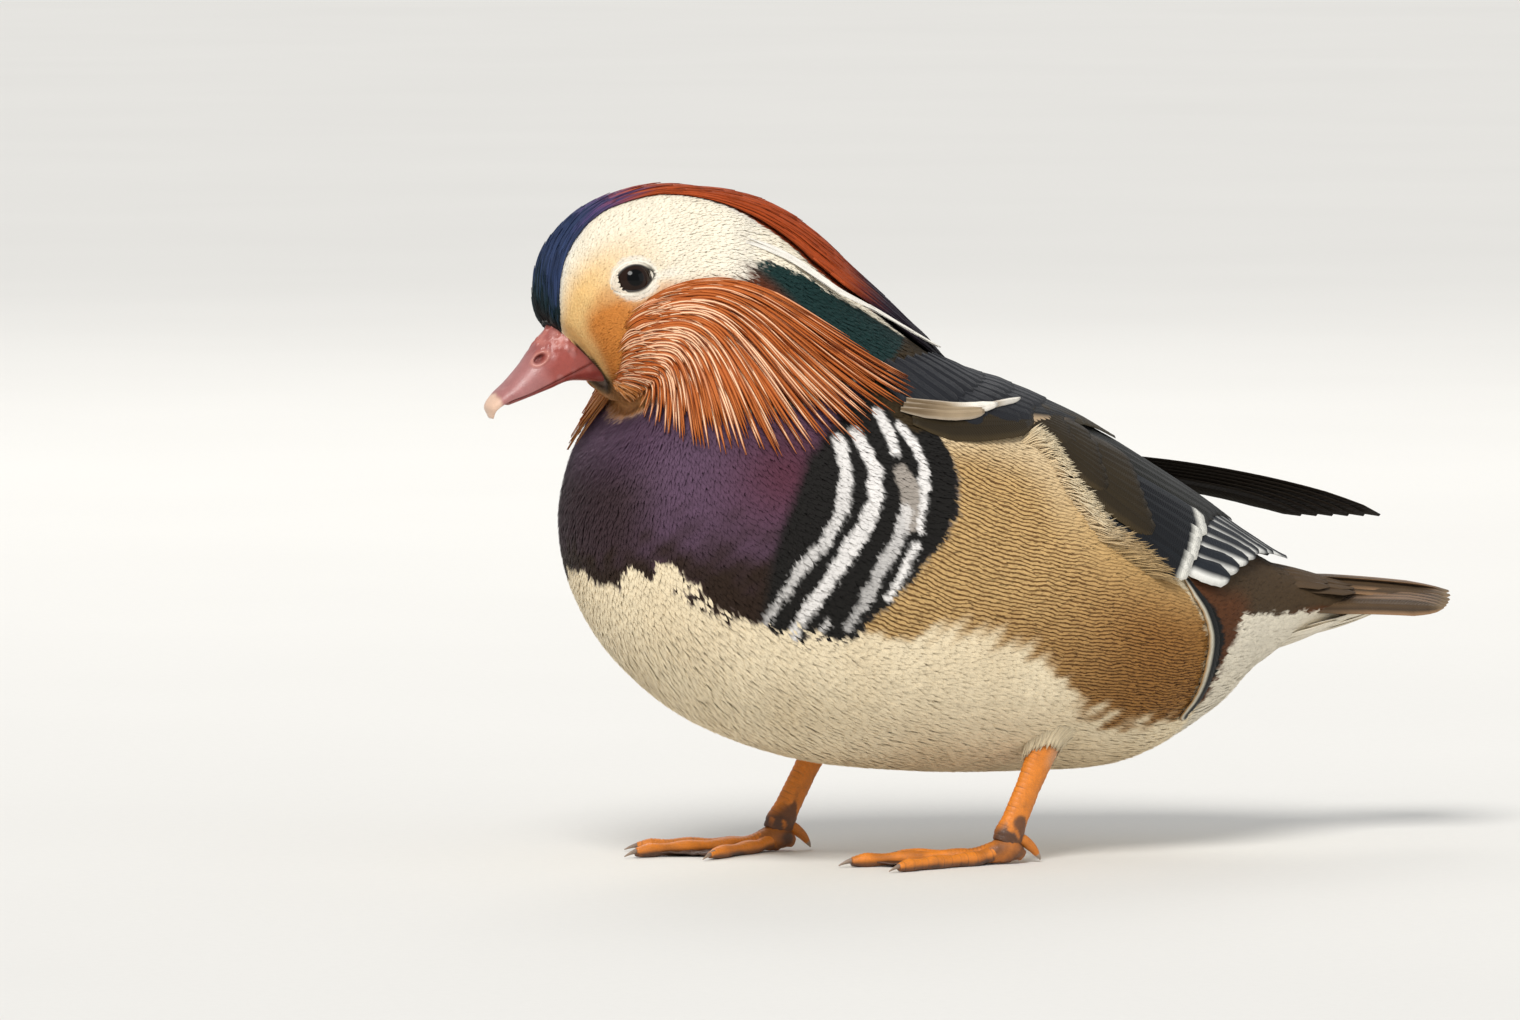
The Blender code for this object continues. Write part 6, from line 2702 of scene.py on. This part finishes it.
    def make_skirt(self) -> Piece:
        """The short soft feathers that hang over the leg where it leaves the belly.

        Returns:
            The piece.
        """
        draw = np.random.default_rng(71)
        count = 420
        top, foot = np.array(self.top), np.array([*self.foot, ANKLE_HEIGHT])
        down = unit(foot - top)
        side = unit(np.cross(down, (0, 1, 0)))
        turn = np.arange(count) * GOLDEN_TURN
        ring = (np.cos(turn)[:, None] * side * 1.28
                + np.sin(turn)[:, None] * np.cross(down, side))
        rib, angle = np.meshgrid(np.linspace(9.5, 15, 90), np.linspace(100, 178, 90))
        belly = BODY.point(rib.ravel(), angle.ravel() * self.side.turn)
        from_line = belly[None] - (top + ring * .0038)[:, None]
        level = from_line @ down
        gap = np.linalg.norm(from_line - level[..., None] * down, axis=-1)
        leaves = np.take_along_axis(level, gap.argmin(1)[:, None], 1)[:, 0]
        t = np.linspace(0, 1, 7)
        far = profile(((0, .0066), (.5, .0047), (1, .0040)), t)
        drop = profile(((0, -.0034), (.5, -.0006), (1, .0020)), t)
        more = draw.uniform(0, 1, count)[:, None] * t * .0030
        path = (top + (leaves[:, None] + drop + more)[..., None] * down
                + (far + draw.normal(0, .00025, count)[:, None] * t)[..., None]
                * ring[:, None])
        half = np.broadcast_to(.00060 * profile(((0, .6), (.4, 1), (.8, .6), (1, .08)), t),
                               (count, len(t)))
        form = VaneForm(7, (-1, 0, 1), .00012, .00020, .00020)
        tops, out = free_vanes(path, np.broadcast_to(unit(ring)[:, None], path.shape), half,
                               form)
        made = vane_mesh(f"thigh_{self.side.word}", tops, out, form, self.down)
        luck = draw.uniform(-1, 1, count)[:, None, None, None]
        tint_vanes(made, np.array(self.down_hue) * (1 + .10 * luck) + np.zeros(tops.shape))
        return made

    def make(self) -> Piece:
        """The whole leg.

        Returns:
            The piece.
        """
        parts = [self._shank()]
        for number in range(len(self.toes)):
            parts += self._toe(number)
        parts += [self._web(0), self._web(1)]
        spots, rings = self._lobe(self.heel, 32)
        bumps = .00012 * ripple(rings, .0022, 2)
        rings = above_floor(rings + unit(rings - spots[:, None]) * bumps[..., None])
        dark = .55 + .35 * ripple(rings, .008, 1)
        parts.append(closed_tube("heel", rings, self.scales,
                                 painted(self.orange, (dark, self.brown))))
        rings = above_floor(self._lobe(self.hind, 20)[1])
        nail = smooth(.70, .76, np.linspace(0, 1, 40)[:, None] + np.zeros(rings.shape[:2]))
        parts.append(closed_tube("hind toe", rings, self.scales, painted(
            np.array(self.orange) * .8, (nail, (.34, .25, .18)))))
        return joined(f"leg_skin_{self.side.word}", parts)

    def _lobe(self, rows: tuple, around: int) -> tuple[Array, Array]:
        """Rings behind the toes.

        Args:
            rows: Where it runs, as x and z past the foot's middle, with its half depth
                and half width, in mm.
            around: Points in a ring.

        Returns:
            The middles of the rings, and the rings.
        """
        row = curve_at(np.array(rows) * MM, np.linspace(0, len(rows) - 1, 40))
        path = np.array([*self.foot, 0]) + row[:, [0, 1, 1]] * (1, 0, 1)
        return path, tube_points(path, np.maximum(row[:, 2:], .0002), around, (0, 0, 1))


@dataclass
class Studio:
    """A plain pale floor, soft light and a long lens at the photograph's angle."""

    # what the camera looks at, from where and how far, and how wide it sees there
    target: Spot = (-.0592, .0347, .1086)
    toward: Spot = (-.4057, -.9113, .0698)
    up: Spot = (.0284, .0637, .9976)
    distance: float = 4.0
    width: float = .48254

    def floor(self) -> Piece:
        """The floor.

        Returns:
            The floor's object.
        """
        made, t, shader = new_material("studio floor")
        noise = Groups.place(t, "mottle", Point=t.object_point(), Coarse=3.0, Fine=300.0,
                             Amount=.03)
        t.link(t.shade((.70, .69, .66, 1), noise.outputs["Tone"]),
               shader.inputs["Base Color"])
        shader.inputs["Roughness"].default_value = .85
        corners = np.array([(-30, -30, 0), (30, -30, 0), (30, 60, 0), (-30, 60, 0)])
        floor = mesh_object("floor", corners, [(0, 1, 2, 3)], made)
        return floor

    def lamp(self, name: str, place: Spot, size: float, power: float,
             colour: Colour) -> None:
        """A soft square light that looks at the bird.

        Args:
            name: Its name.
            place: Where it stands.
            size: Its width.
            power: Its power in watts.
            colour: Its colour.
        """
        light = bpy.data.lights.new(name, "AREA")
        light.size = size
        light.energy = power
        light.color = colour
        made = bpy.data.objects.new(name, light)
        made.location = place
        way = Vector((-.03, 0, .1)) - Vector(place)
        made.rotation_euler = way.to_track_quat("-Z", "Y").to_euler()
        bpy.context.scene.collection.objects.link(made)

    def light(self) -> None:
        """All the lights and the pale surround."""
        sun = bpy.data.lights.new("key", "SUN")
        sun.energy = 2.7
        sun.angle = math.radians(24)
        sun.color = (1.0, .975, .94)
        key = bpy.data.objects.new("key", sun)
        key.rotation_euler = Vector((1.5, 1.9, -2.5)).to_track_quat("-Z", "Y").to_euler()
        bpy.context.scene.collection.objects.link(key)
        self.lamp("fill", (1.9, -2.2, 1.1), 2.2, 10, (.95, .97, 1.0))
        self.lamp("rim", (.6, 2.1, 1.9), 1.4, 16, (1.0, .98, .95))
        world = bpy.data.worlds.new("surround")
        world.use_nodes = True
        shader = world.node_tree.nodes["Background"]
        shader.inputs["Color"].default_value = (.95, .97, 1.0, 1)
        shader.inputs["Strength"].default_value = .55
        bpy.context.scene.world = world

    def camera(self) -> None:
        """The camera."""
        data = bpy.data.cameras.new("camera")
        data.lens = data.sensor_width * self.distance / self.width
        data.clip_end = 200
        made = bpy.data.objects.new("camera", data)
        back = Vector(self.toward).normalized()
        up = Vector(self.up)
        right = up.cross(back).normalized()
        turn = Matrix((right, back.cross(right), back)).transposed().to_4x4()
        made.matrix_world = Matrix.Translation(Vector(self.target)
                                               + back * self.distance) @ turn
        bpy.context.scene.collection.objects.link(made)
        bpy.context.scene.camera = made
        bpy.context.scene.view_settings.view_transform = "Standard"


def main() -> None:
    """Builds every piece in order and reports it."""
    logging.basicConfig(level=logging.INFO, format="%(name)s %(message)s")
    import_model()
    studio = Studio()
    studio.floor()
    studio.light()
    studio.camera()

    coat_finish = PlumageFinish("small feathers", waves=True, barbs=5.0).make()
    hackle_finish = PlumageFinish("hackles", barbs=30.0, barb_slant=9.0, barb_tone=.10,
                                  roughness=.5).make()
    silk_finish = PlumageFinish("crest silk", barbs=20.0, barb_slant=9.0, barb_tone=.10,
                                roughness=.5, gloss_roughness=.34).make()
    quill_finish = PlumageFinish("quills", barbs=46.0, barb_slant=7.0, barb_tone=.07,
                                 roughness=.55, gloss_roughness=.36).make()
    dress(Skin(coat_finish).make(), "body_plumage", "torso", "neck", "head")
    tree = build_tuft_tree()
    tuft = Tuft().make()
    for coat, slot in (
            (Coat("coat_face", .08, 5.0, ((0, 1.3), (1.5, 1.8), (3, 2.2), (5, 3.8)),
                  ((0, .42), (1.5, .52), (3, .72), (5, 1.0)), .06, 3.6, 1), "face_plumage"),
            (Coat("coat_neck", 5.0, 8.3, ((5, 3.2), (6, 3.8), (8.3, 4.8)),
                  ((5, .68), (8.3, 1.0)), .05, 3.9, 2), "neck_plumage"),
            (Coat("coat_breast", 8.3, 11.0, ((8.3, 4.6), (11, 5.0)),
                  ((8.3, 1.2), (11, 1.3)), .06, 4.6, 3), "body_plumage"),
            (Coat("coat_flanks", 11.0, 13.2, ((11, 5.0), (13.2, 5.6)),
                  ((11, 1.35), (13.2, 1.45)), .07, 5.2, 4), "body_plumage"),
            (Coat("coat_thighs", 13.2, 15.2, ((13.2, 5.6), (15.2, 5.8)),
                  ((13.2, 1.45), (15.2, 1.5)), .07, 5.2, 5), "body_plumage"),
            (Coat("coat_rear", 15.2, 18.9, ((15.2, 5.8), (19, 5.6)),
                  ((15.2, 1.5), (19, 1.5)), .08, 4.8, 6), "body_plumage")):
        dress(coat.make(tuft, tree, coat_finish), slot)
    bpy.data.objects.remove(tuft)
    crest = Crest(silk_finish)
    dress(crest.make_cap(), "crest_plumage", "crest")
    dress(crest.make_strands(), "crest_plumage")
    for side in Side:
        dress(Mane(side, hackle_finish).make(), "ruff_plumage", f"mane_{side.word}")
        wing = Wing(side, quill_finish)
        dress(wing.make_core(), "wing_plumage")
        dress(wing.make_feathers(), "wing_plumage", f"wing_{side.word}")
        if side is Side.RIGHT:
            dress(wing.make_far_quills(), "wing_plumage")
        trim = SideTrim(side, quill_finish, silk_finish)
        dress(trim.make_fringe(), "body_plumage")
        dress(trim.make_crescent(), "body_plumage")
        dress(trim.make_nape_line(), "neck_plumage")
    dress(Tail(quill_finish).make(), "tail_plumage", "tail")

    horn = TintedFinish("bill horn", .34, 300.0, 2200.0, .22, .35).make()
    bill = Bill(horn)
    dress(bill.make_upper(), "bill_horn", "bill_upper")
    dress(bill.make_lower(), "bill_horn", "bill_lower")
    gloss = TintedFinish("wet eye", .07, 200.0, 900.0, .05, .0, coat=.12,
                         specular=.12).make()
    lid = TintedFinish("lid skin", .55, 900.0, 3200.0, .30, .35).make()
    eyes = Eyes(gloss, lid)
    for side in Side:
        dress(eyes.make_ball(side), "eye_gloss", f"eye_{side.word}")
        dress(eyes.make_lids(side), "face_plumage")
    scales = TintedFinish("scaled skin", .46, 420.0, 2600.0, .24, .35, .0002, 1500.0).make()
    for side, foot, heading, top in (
            (Side.LEFT, (-.0060, -.0355), 10.0, (.0125, -.0335, .0450)),
            (Side.RIGHT, (-.0550, .0320), 4.0, (-.0330, .0310, .0480))):
        leg = Leg(side, scales, hackle_finish, foot, heading, top)
        dress(leg.make(), "leg_skin", f"leg_{side.word}")
        dress(leg.make_skirt(), "body_plumage")


if __name__ == "__main__":
    main()
